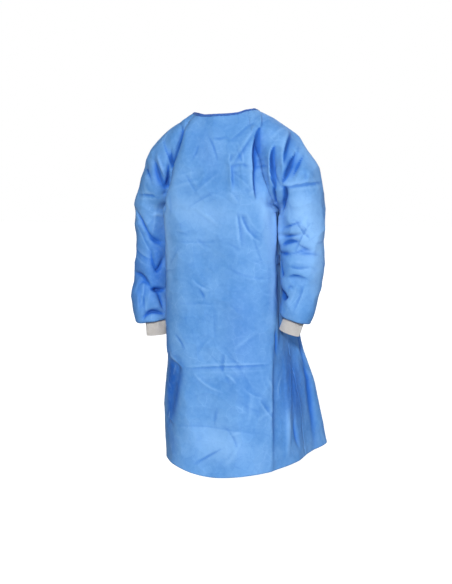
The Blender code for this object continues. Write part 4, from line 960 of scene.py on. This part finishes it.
def makeGownCloth(c):
    finish = Finish("gownCloth", c)
    crease, hollow, paintedShading = finish.mark("crease"), finish.mark("hollow"), finish.mark("tone")
    cloud = finish.noise(c["cloudScale"], 3.0, 0.6)
    patch = finish.noise(c["patchScale"], 3.0, 0.55)
    fibre = finish.noise(c["fibreScale"], 2.0, 0.6)
    # the bonded grid: squares of the sines along the two diagonals of the cloth's own metres
    u, v = finish.parts(finish.uv, 0, 1)
    turn = math.pi / c["bondPitch"]
    first, second = finish.wave((u + v) * turn), finish.wave((u - v) * turn)
    bonds = finish.limit(first * first * second * second, 0.35, 0.8)
    # crumples: bowls as the square of the distance to the nearest point, and the lines where they meet,
    # painted as highlight or shade by the patch noise and left out where painted shade lies
    sway = finish.noise(c["swayScale"], out="Color")
    bent = finish.node("ShaderNodeVectorMath", {"operation": "MULTIPLY_ADD"}, {
        0: sway, 1: (c["crumpleBend"],) * 3, 2: finish.place})
    cells = {"Vector": bent, "Scale": c["crumpleScale"]}
    bowl = finish.node("ShaderNodeTexVoronoi", {"feature": "F1"}, cells, out="Distance")
    edge = finish.node("ShaderNodeTexVoronoi", {"feature": "DISTANCE_TO_EDGE"}, cells, out="Distance")
    line = (1 - finish.limit(edge, 0.0, c["lineWidth"])) * finish.limit(paintedShading, -0.6, 0.0)
    # how far each point lies in painted fold shade
    foldShade = finish.limit(hollow, 0.0, c["hollowSpan"])
    # each in turn takes the tone some way to a paler or deeper one
    tone = finish.mix(finish.limit(patch, 0.35, 0.65) * c["patchPale"], c["shade"], c["light"])
    for amount, towards in (
        # painted light and painted shade from the shading table, and painted shadow where it is deepest
        (finish.limit(paintedShading, 0, 1), "light"),
        (finish.limit(0 - paintedShading, 0, 1), "dark"),
        (finish.limit(-1 - paintedShading, 0, 1) * c["paintedShadowDeep"], "deep"),
        ((cloud - 0.5) * c["cloudPale"], "light"),
        ((0.5 - cloud) * c["cloudDark"], "dark"),
        # painted highlight or painted shade along the crumple lines
        (line * finish.limit(patch, 0.50, 0.60) * c["crumpleLineHighlight"], "light"),
        (line * finish.limit(patch, 0.50, 0.40) * c["crumpleLineShade"], "dark"),
        # paler on raised fine creases, partly as whitening and partly as painted highlight, and painted shade
        # in their troughs
        (finish.limit(crease, 0.0, c["creaseSpan"]) * c["creaseWhiteningAndShade"], "light"),
        (finish.limit(0 - crease, 0.0, c["creaseSpan"]) * c["creaseWhiteningAndShade"], "dark"),
        # painted shade in the fold troughs, painted highlight on their ridges and painted shadow where
        # deepest
        (foldShade * foldShade * c["hollowDark"], "dark"),
        (finish.limit(0 - hollow, c["ridgeFrom"], c["ridgeSpan"]) * c["paintedRidgeHighlight"], "light"),
        (finish.limit(hollow, c["hollowSpan"], 2 * c["hollowSpan"]) * c["hollowDeep"], "deep"),
        (bonds * c["bondDark"], "dark"),
    ):
        tone = finish.mix(amount, tone, c[towards])
    height = (fibre * c["fibreDepth"] - bonds * c["bondDepth"] + cloud * c["cloudDepth"]
              + bowl * bowl * c["crumpleDepth"])
    return finish.feed(tone, height, c["bump"])


gownCloth = makeGownCloth(nonWoven)

knit = {  # off-white rib knit: two stitches to a rib, with painted shade between the ribs and between the stitch rungs
    "yarn": (0.640, 0.600, 0.560, 1), "deep": (0.400, 0.365, 0.330, 1), "stain": (0.700, 0.665, 0.625, 1),
    "stitchRise": 0.0013, "stitchDepth": 0.00035, "fuzzScale": 1400.0, "fuzzDepth": 0.00008,
    "stainScale": 60.0, "ribGrooveShade": 0.75, "rungGrooveShade": 0.35, "bump": 0.7,
    "roughness": 0.92, "specular": 0.15, "sheen": 0.25, "sheenRoughness": 0.6,
}


# the cloth map holds ribs round the cuff and metres down it; a stitch leans up both sides of its rib as a V
def makeCuffKnit(c):
    finish = Finish("cuffKnit", c)
    u, v = finish.parts(finish.uv, 0, 1)
    rib = finish.wave(u * (2 * math.pi) + math.pi / 2)
    lean = finish.node("ShaderNodeMath", {"operation": "PINGPONG"}, {0: u * 2, 1: 0.5})
    rung = finish.wave((v / c["stitchRise"] + lean) * (2 * math.pi))
    fuzz, patch = finish.noise(c["fuzzScale"], 2.0, 0.6), finish.noise(c["stainScale"])
    tone = finish.mix(finish.limit(patch, 0.35, 0.7), c["yarn"], c["stain"])
    # painted shade in the grooves between the ribs and between the rungs
    tone = finish.mix(finish.limit(0 - rib, 0.1, 1.0) * c["ribGrooveShade"], tone, c["deep"])
    tone = finish.mix(finish.limit(0 - rung, 0.2, 1.0) * c["rungGrooveShade"], tone, c["deep"])
    return finish.feed(tone, rung * c["stitchDepth"] + fuzz * c["fuzzDepth"], c["bump"])


tapeWeave = {  # plain woven or brushed strips: what all of them share
    "roughness": 0.72, "specular": 0.25, "sheen": 0.12, "sheenRoughness": 0.5,
    "fuzzScale": 1100.0, "patchScale": 140.0, "fuzzPale": 0.5, "weftDepth": 0.00005, "bump": 0.8,
}
tapes = {  # and each one's tones, the pitch of what runs across it, and how fuzzy it is
    "binding": {
        "tone": (0.030, 0.095, 0.360, 1), "pale": (0.050, 0.150, 0.470, 1), "pitch": 0.0011, "fuzz": 0.00006},
    "closure": {
        "tone": (0.055, 0.140, 0.400, 1), "pale": (0.110, 0.230, 0.560, 1), "pitch": 0.0014, "fuzz": 0.00050},
    "thread": {
        "tone": (0.070, 0.200, 0.560, 1), "pale": (0.120, 0.290, 0.680, 1), "pitch": 0.0009, "fuzz": 0.00002},
}


def makeTape(name, c):
    finish = Finish(name, c)
    x, z = finish.parts(finish.place, 0, 2)
    turn = 2 * math.pi / c["pitch"]
    weft = finish.wave((x + z) * turn) * finish.wave((x - z) * turn)
    fuzz = finish.noise(c["fuzzScale"], 3.0, 0.65)
    tone = finish.mix(finish.limit(finish.noise(c["patchScale"]), 0.3, 0.7), c["tone"], c["pale"])
    tone = finish.mix(finish.limit(fuzz, 0.5, 0.7) * c["fuzzPale"], tone, c["pale"])
    return finish.feed(tone, weft * c["weftDepth"] + fuzz * c["fuzz"], c["bump"])


cuffKnit = makeCuffKnit(knit)
bindingTape, closureTape, sewingThread = (
    makeTape(name + "Tape", {**tapeWeave, **tape}) for name, tape in tapes.items())

# the five cloth panels: the solids each stands for, whether its faces turn over, and the cut: its width
# where it is widest, its length and its flat area
panelPieces = {
    "front": {"solids": ["front"], "flip": False, "flat": (0.76, 1.20), "area": 0.70},
    "back_left": {"solids": ["back_left"], "flip": False, "flat": (0.55, 1.22), "area": 0.45},
    "back_right": {
        "solids": ["back_right", "back_right_yoke"], "flip": True, "flat": (0.55, 1.22), "area": 0.45},
    "sleeve_left": {"solids": ["sleeve_left"], "flip": False, "flat": (0.52, 0.80), "area": 0.315},
    "sleeve_right": {
        "solids": ["sleeve_right", "sleeve_right_yoke"], "flip": True, "flat": (0.51, 0.80), "area": 0.315},
}


# a grid's area, its widest row and its longest column
def measures(grid):
    quads = np.cross(np.diff(grid, axis=1)[:-1], np.diff(grid, axis=0)[:, :-1])
    widest, longest = (lengthsAlong(lines)[:, -1].max() for lines in (grid, grid.transpose(1, 0, 2)))
    return [round(float(size), 3) for size in (np.linalg.norm(quads, axis=2).sum(), widest, longest)]


for name, p in panelPieces.items():
    wrapped = cut["yokeRows"] if name.startswith("sleeve") else None
    # the crease, fold and tone marks carry whitening, painted highlight and painted shade into the colour
    piece = gridPiece(name + "_cloth", panels[name], clothUv(base[name]), p["flip"], wrapped,
                      crease=relief(marks[name]), hollow=hollows[name], tone=paintedShadings[name])
    giveWall(piece, cut["cloth"])
    finishPiece(piece, gownCloth, "gown_cloth", *p["solids"])
    p["piece"] = piece
    print(name, "area, widest and longest", measures(base[name]))
panelNodes = [node for p in panelPieces.values() for node in p["solids"]]
for p in panelPieces.values():
    others = [node for node in panelNodes if node not in p["solids"]]
print("cloth panels made")


# points and normals of a panel between its rows and columns, by shares of the four points around
def onPanel(name, rows, columns):
    grid, normal = panels[name], normals[name]
    rows, columns = np.broadcast_arrays(np.asarray(rows, float), np.asarray(columns, float))
    r = np.clip(rows.astype(int), 0, grid.shape[0] - 2)
    c = np.clip(columns.astype(int), 0, grid.shape[1] - 2)
    u, v = (rows - r)[..., None], (columns - c)[..., None]
    found = []
    for field in (grid, normal):
        top = field[r, c] * (1 - v) + field[r, c + 1] * v
        found.append(top * (1 - u) + (field[r + 1, c] * (1 - v) + field[r + 1, c + 1] * v) * u)
    return found[0], unit(found[1])


# each value with the mean of its neighbours along the first axis, a few times over
def smoothAlong(values, times):
    for _ in range(times):
        ends = np.concatenate([values[:1], values, values[-1:]])
        values = 0.25 * ends[:-2] + 0.5 * values + 0.25 * ends[2:]
    return values


# rings of points joined one after the other: the quads between them, and the two caps
def sectionFaces(count, around):
    index = np.arange(count * around).reshape(count, around)
    after = np.roll(index, -1, axis=1)
    quads = np.stack([index[:-1], after[:-1], after[1:], index[1:]], axis=-1).reshape(-1, 4)
    return quads, np.stack([index[0, ::-1], index[-1]])


# closed sections carried along a path, with a flat cap at each end
def sweptPiece(name, rings):
    quads, caps = sectionFaces(*rings.shape[:2])
    mesh = bpy.data.meshes.new(name)
    mesh.from_pydata(rings.reshape(-1, 3), [], [*quads.tolist(), *caps.tolist()])
    mesh.shade_smooth()
    mesh.set_sharp_from_angle(angle=math.radians(50))
    return addObject(name, mesh)


# stitches as one mesh: each a six-sided thread whose radius is r sqrt(1 - s^4) along s from -1 to 1, bowed
# off the cloth by its radius
def stitchPiece(name, middles, ways, outs, c, slot):
    s = np.array([-1, -0.9, -0.5, 0, 0.5, 0.9, 1])[:, None]
    angle = np.linspace(0, 2 * math.pi, 7)[None, :-1]
    radius = c["thread"]
    size = radius * np.sqrt(np.maximum(1 - s**4, 0.02))
    rise = size * np.sin(angle) + radius * (0.6 - s**2)
    along, high, wide = (np.broadcast_to(part, (7, 6))[None, ..., None] for part in (
        s * c["stitchLength"] / 2, rise, size * np.cos(angle)))
    ways, outs, sides = (field[:, None, None] for field in (ways, outs, np.cross(ways, outs)))
    points = middles[:, None, None] + ways * along + outs * high + sides * wide
    quads, caps = sectionFaces(7, 6)
    shift = 42 * np.arange(len(middles))[:, None, None]
    faces = [*(quads + shift).reshape(-1, 4).tolist(), *(caps + shift).reshape(-1, 6).tolist()]
    mesh = bpy.data.meshes.new(name)
    mesh.from_pydata(points.reshape(-1, 3), [], faces)
    mesh.shade_smooth()
    return finishPiece(addObject(name, mesh), sewingThread, slot)


# points at even steps along a line of points, with the matching place of any other fields given
def evenSteps(line, pitch, *fields):
    length = lengthsAlong(line[None])[0]
    where = np.arange(pitch, length[-1] - pitch / 2, pitch)
    return [readLine(where, length, field) for field in (line, *fields)]


binding = {  # a strip folded over the neck edge, plump at its fold and pressed flat where it is sewn
    "height": 0.0085, "foldThick": 0.0021, "sewnThick": 0.0015, "inside": 0.0006, "innerTop": 0.0002,
    "foldFrom": 0.0010, "top": 0.0012, "waveSize": 0.009, "swell": 0.12, "drift": 0.0003, "pucker": 0.00022,
    "stitchUp": -0.0064, "stitchOut": 0.00188, "stitchPitch": 0.0034, "stitchLength": 0.0024,
    "thread": 0.00022, "cutWidth": 0.022,
}


# once round the neck edge, from the inner back panel's edge to the outer one's: the edge, out of it and up
def neckRim():
    order = (("back_left", slice(None, 0, -1)), ("sleeve_left", slice(None, None, -1)),
             ("front", slice(-2, 0, -1)), ("sleeve_right", slice(None)), ("back_right", slice(1, None)))
    edge, below, out = (
        np.concatenate([fields[name][row, columns] for name, columns in order])
        for fields, row in ((panels, 0), (panels, 4), (normals, 0)))
    edge, up = smoothAlong(edge, 3), unit(smoothAlong(unit(edge - below), 6))
    return edge, squareTo(smoothAlong(out, 6), up), up


# section: up the outer face, half a turn over the fold, down the inner one and back along the inside of both;
# half its thickness goes evenly from sewnThick up to foldThick, and the stitches pucker it
def makeBinding(b):
    edge, out, up = neckRim()
    rise = np.linspace(-b["height"], -b["foldFrom"], 7)
    thick = b["sewnThick"] + (b["foldThick"] - b["sewnThick"]) * (rise + b["height"]) / b["height"]
    turn = np.linspace(0, math.pi, 10)[1:-1]
    inner, inside = np.linspace(-b["innerTop"], -b["height"], 4), np.full(4, b["inside"])
    fold = -b["foldFrom"] + (b["top"] + b["foldFrom"]) * np.sin(turn)
    across = np.concatenate([thick, b["foldThick"] * np.cos(turn), -thick[::-1], -inside, inside])
    height = np.concatenate([rise, fold, rise[::-1], inner[::-1], inner])
    length = lengthsAlong(edge[None])[0]
    wave = noiseAlong(length, b["waveSize"], 31)
    pucker = b["pucker"] / b["foldThick"] * np.cos(2 * math.pi * length / b["stitchPitch"])
    swell = 1 + b["swell"] * wave + pucker
    rings = (edge[:, None] + out[:, None] * (across[None] * swell[:, None])[..., None]
             + up[:, None] * (height[None] + b["drift"] * wave[:, None])[..., None])
    piece = finishPiece(sweptPiece("neck_binding_strip", rings), bindingTape, "neck_binding", "neck_binding")
    for side, way in (("outer", 1), ("inner", -1)):
        line = edge + out * way * b["stitchOut"] + up * b["stitchUp"]
        middles, outs = evenSteps(line, b["stitchPitch"], out * way)
        ways = squareTo(np.gradient(middles, axis=0), outs)
        name = "binding_stitches_" + side
        stitchPiece(name, middles, ways, unit(outs), b, "neck_binding")


cuffShape = {  # a knit tube from the sleeve's gathered end to its own open end
    "ribs": 58, "columnsPerRib": 6, "rows": 44, "wall": 0.0018, "ribHeight": 0.00065, "inset": 0.0028,
    "length": 0.058, "endOut": 0.0345, "endDeep": 0.0275,
    "lean": -0.10, "tilt": {"left": -19.0, "right": -6.0},
    "slack": 0.0010, "slackSize": 0.03, "ribStart": 0.35, "ribWhole": 0.12, "cutWidth": 0.215,
}


# centre + length s down + (1 - s) top ring + s end ellipse, moved out by height (2 |cos(ribs a / 2)|^0.7 - 1)
def makeCuff(side, c):
    sign = 1 if side == "left" else -1
    edge = panels["sleeve_" + side][-1]
    centre = edge[:-1].mean(axis=0)
    columns = c["ribs"] * c["columnsPerRib"]
    seam = readLine(np.linspace(0, len(edge) - 1, columns + 1), np.arange(len(edge)), edge) - centre
    tilt = math.radians(c["tilt"][side])
    across = np.array([sign * math.cos(tilt), 0, math.sin(tilt)])
    down = np.array([sign * math.sin(tilt), c["lean"], -math.cos(tilt)])
    top = seam * (1 - c["inset"] / np.linalg.norm(seam, axis=1, keepdims=True))
    angle = np.linspace(-math.pi, math.pi, columns + 1)[:, None]
    end = c["endOut"] * np.cos(angle) * across + c["endDeep"] * np.sin(angle) * [0, 1, 0]
    s = np.linspace(0, 1, c["rows"] + 1)[:, None, None]
    grid = centre + down * c["length"] * s + top * (1 - s) + end * s
    normal = gridNormals(grid, 0) * sign
    grid = grid + normal * (c["slack"] * softNoise(grid, c["slackSize"], 17))[..., None]
    ribs = c["ribHeight"] * (2 * np.abs(np.cos(c["ribs"] * angle[:, 0] / 2)) ** 0.7 - 1)
    grown = c["ribStart"] + (1 - c["ribStart"]) * smoothStep(s[..., 0], 0, c["ribWhole"])
    grid = grid + normal * (ribs * grown)[..., None]
    uv = np.broadcast_arrays(np.linspace(0, c["ribs"], columns + 1), c["length"] * s[..., 0])
    piece = gridPiece("cuff_" + side + "_knit", grid, np.stack(uv, axis=-1), side == "right", wrappedFrom=0)
    finishPiece(giveWall(piece, c["wall"]), cuffKnit, "cuff_knit", "cuff_" + side)


belt = {  # strips of gown cloth, 30 mm wide on the gown and narrow where they go into the knot
    "height": -0.462, "half": 0.015, "narrow": 0.0090, "cloth": 0.0009, "lift": 0.0020, "across": 14,
    "waveSize": 0.028, "edgeWave": 0.02, "rippleWave": 0.8, "pleat": 0.0016, "pleatReach": 0.045,
    # shares of a panel's columns: where the belt is sewn, stops and is tied, and where the flap tie starts
    "frontShare": 23 / 26, "lastShare": 0.93, "knotShare": 5 / 11, "flapShare": 0.92,
    "knotAway": 0.0087, "knotSize": (0.024, 0.013, 0.024), "intoKnot": 0.002,
    # hanging ends: the side each is on, its length, how far it turns and how far it swings out
    "ends": {"belt_end": (1, 0.29, -9.0, 0.020), "tie_end": (-1, 0.23, 7.0, 0.009)},
    "endHalf": 0.0135, "endNarrow": 0.0068, "endBeside": 0.0062, "endUnder": 0.004, "endBow": 0.0022,
    "endGather": 0.0014, "endClear": 0.008, "endLoose": 0.007,
}


# where the belt crosses a panel at shares of its columns: points, the way out and the way up the cloth
def beltLine(name, shares):
    columns = np.asarray(shares) * (panels[name].shape[1] - 1)
    middle = panels["front"][:, cut["frontColumns"] // 2, 2]
    row = float(np.interp(-belt["height"], -middle, np.arange(len(middle))))
    point, out = onPanel(name, row, columns)
    up = unit(onPanel(name, row - 3, columns)[0] - onPanel(name, row + 3, columns)[0])
    return point, squareTo(out, up), up


# a strip along a path: point + across half v + out (lift + ripple), v from -1 to 1, its edges a little wavy
def stripPiece(name, points, outs, across, halves, ripple, seed, b):
    v = np.linspace(-1, 1, b["across"] + 1)[None, :]
    length = lengthsAlong(points[None])[0][:, None]
    wave = noiseAlong(length[:, 0], b["waveSize"], seed)[:, None]
    grid = (points[:, None] + across[:, None] * (halves[:, None] * v * (1 + b["edgeWave"] * wave))[..., None]
            + outs[:, None] * (ripple * (1 + b["rippleWave"] * wave))[..., None])
    uv = np.stack(np.broadcast_arrays(halves[:, None] * v, length), axis=-1)
    piece = giveWall(gridPiece(name + "_strip", grid, uv, False), b["cloth"])
    return finishPiece(piece, gownCloth, "gown_cloth", name), (2 * float(halves.max()), float(length[-1, 0]))


def makeBelt(b):
    at, out, up = (field[0] for field in beltLine("back_left", [b["knotShare"]]))
    side = unit(np.cross(out, up))  # to the wearer's left
    knot = at + out * b["knotAway"]
    wound = makeKnot(knot, side, out, up, b)
    v = np.linspace(-1, 1, b["across"] + 1)[None, :]
    pleats = np.cos(2.5 * math.pi * v)
    front = ("front", np.linspace(b["frontShare"], 1, 30)[:-1])
    back = ("back_left", np.linspace(0, b["knotShare"] * b["lastShare"], 60))
    flap = ("back_right", np.linspace(b["flapShare"], 1, 14))
    for name, parts, way, seed in (("belt", (front, back), 1, 51), ("flap_tie", (flap,), -1, 52)):
        found = [beltLine(panel, shares) for panel, shares in parts]
        points, outs, ups = (np.concatenate([part[k] for part in found]) for k in range(3))
        # a taut line over the highest places of the cloth, then into the knot
        flat = smoothAlong(points, 30)
        proud = ((points - flat) * outs).sum(axis=1)
        reach = max(6, len(points) // 8)
        proud = np.array([proud[max(0, i - reach) : i + reach + 1].max() for i in range(len(proud))])
        points = flat + outs * smoothAlong(proud + b["lift"], 6)[:, None]
        last = at + side * way * (b["knotSize"][0] / 2 - b["intoKnot"]) + out * b["knotAway"]
        share = np.linspace(0, 1, 16)[1:, None]
        points = np.concatenate([points, points[-1] * (1 - share) + last * share])
        outs = np.concatenate([outs, unit(outs[-1] * (1 - share) + out * share)])
        ups = np.concatenate([ups, unit(ups[-1] * (1 - share) + up * share)])
        points[len(flat) // 2 :] = smoothAlong(points, 6)[len(flat) // 2 :]
        near = smoothStep(np.linalg.norm(points - last, axis=1), 0.0, b["pleatReach"])
        halves = b["narrow"] + (b["half"] - b["narrow"]) * near
        ripple = (1 - near[:, None]) * b["pleat"] * pleats
        piece, size = stripPiece(name, points, outs, ups, halves, ripple, seed, b)
    backPoints = panels["back_left"][::2, ::2].reshape(-1, 3)
    t = np.linspace(0, 1, 72)
    for seed, (name, (way, length, swing, aside)) in enumerate(b["ends"].items(), 61):
        below = b["knotSize"][2] / 2 - b["endUnder"] + (length + b["endUnder"]) * t
        beside = b["endBeside"] + aside * smoothStep(t, 0, 0.45)
        points = knot + side * way * beside[:, None] - np.array([0, 0, 1]) * below[:, None]
        turn = np.radians(swing * t)[:, None]
        across, facing = side * np.cos(turn) + out * np.sin(turn), out * np.cos(turn) - side * np.sin(turn)
        # clear of the cloth under the strip's middle and both its edges
        reaches = [points[:, ::2] + [dx, 0] for dx in (-b["half"], 0, b["half"])]
        gaps = [np.linalg.norm(backPoints[None, :, ::2] - reach[:, None], axis=2) for reach in reaches]
        cloth = np.max([backPoints[np.argmin(gap, axis=1), 1] for gap in gaps], axis=0)
        clear = np.maximum(points[:, 1], cloth + b["endClear"] + b["endLoose"] * t)
        points[:, 1] = smoothAlong(points[:, 1] + (clear - points[:, 1]) * smoothStep(t, 0, 0.1), 4)
        halves = b["endNarrow"] + (b["endHalf"] - b["endNarrow"]) * smoothStep(t, 0, 0.22)
        bow = b["endBow"] * (v**2 - 0.4) * smoothStep(t, 0.1, 0.5)[:, None]
        gather = b["endGather"] * pleats * (1 - smoothStep(t, 0, 0.25))[:, None]
        piece, size = stripPiece(name, points, facing, across, halves, bow + gather, seed, b)


# a lump of wound strips: round sections of share (1 - |2s|^3.2)^(1/2.4), ridged where the turns cross it
def makeKnot(knot, side, out, up, b):
    s = np.linspace(-0.5, 0.5, 41)[:, None]
    angle = np.linspace(0, 2 * math.pi, 64, endpoint=False)[None, :]
    size = np.maximum(1 - np.abs(2 * s) ** 3.2, 0.09) ** (1 / 2.4)
    ridge = np.abs(np.sin(1.5 * angle + 4.4 * s)) ** 0.6
    turns = size * (0.92 + 0.10 * ridge) + 0.03 * np.cos(2 * angle + 9 * s)
    along, thick, high = b["knotSize"]
    rings = (knot + side * (s * along)[..., None] + out * (0.5 * thick * turns * np.cos(angle))[..., None]
             + up * (0.5 * high * turns * np.sin(angle))[..., None])
    return finishPiece(sweptPiece("belt_knot_wound", rings), gownCloth, "gown_cloth", "belt_knot")


closure = {  # two patches under the neck binding: loops outside the inner panel, hooks inside the outer one
    "columns": (7.4 / 11, 9.9 / 11), "stations": (0.0525, 0.1125), "lift": 0.0017, "wall": 0.0011,
    "nap": 0.00025, "napSize": 0.0022, "stitchPitch": 0.0028, "stitchLength": 0.0019, "thread": 0.0002,
}


def makeClosure(c):
    for name, panel, way in (("neck_loop", "back_left", 1), ("neck_hook", "back_right", -1)):
        columns = np.linspace(*c["columns"], 41)[None, :] * cut["backColumns"]
        rows = np.linspace(*c["stations"], 25)[:, None] * cut["yokeRows"]
        point, out = onPanel(panel, rows, columns)
        nap = c["nap"] * softNoise(point, c["napSize"], 71)
        grid = point + way * out * (c["lift"] + nap)[..., None]
        piece = gridPiece(name + "_patch", grid, clothUv(grid), False)
        finishPiece(giveWall(piece, c["wall"]), closureTape, "closure_tape", name)
        # sewn once round, two points in from the edge
        around = [(field[2, 2:-2], field[2:-2, -3], field[-3, 2:-2][::-1], field[2:-2, 2][::-1])
                  for field in (grid, way * out)]
        sewn = [evenSteps(line + over * c["wall"] / 2, c["stitchPitch"], over) for line, over in zip(*around)]
        middles, overs = (np.concatenate([part[k] for part in sewn]) for k in range(2))
        ways = squareTo(np.concatenate([np.gradient(part[0], axis=0) for part in sewn]), overs)
        stitches = stitchPiece(name + "_stitches", middles, ways, unit(overs), c, "closure_tape")
        size = tuple(float(lengthsAlong(lines)[:, -1].mean()) for lines in (grid, grid.transpose(1, 0, 2)))


makeBinding(binding)
for side in ("left", "right"):
    makeCuff(side, cuffShape)
makeBelt(belt)
makeClosure(closure)
print("binding, cuffs, belt and closure made")
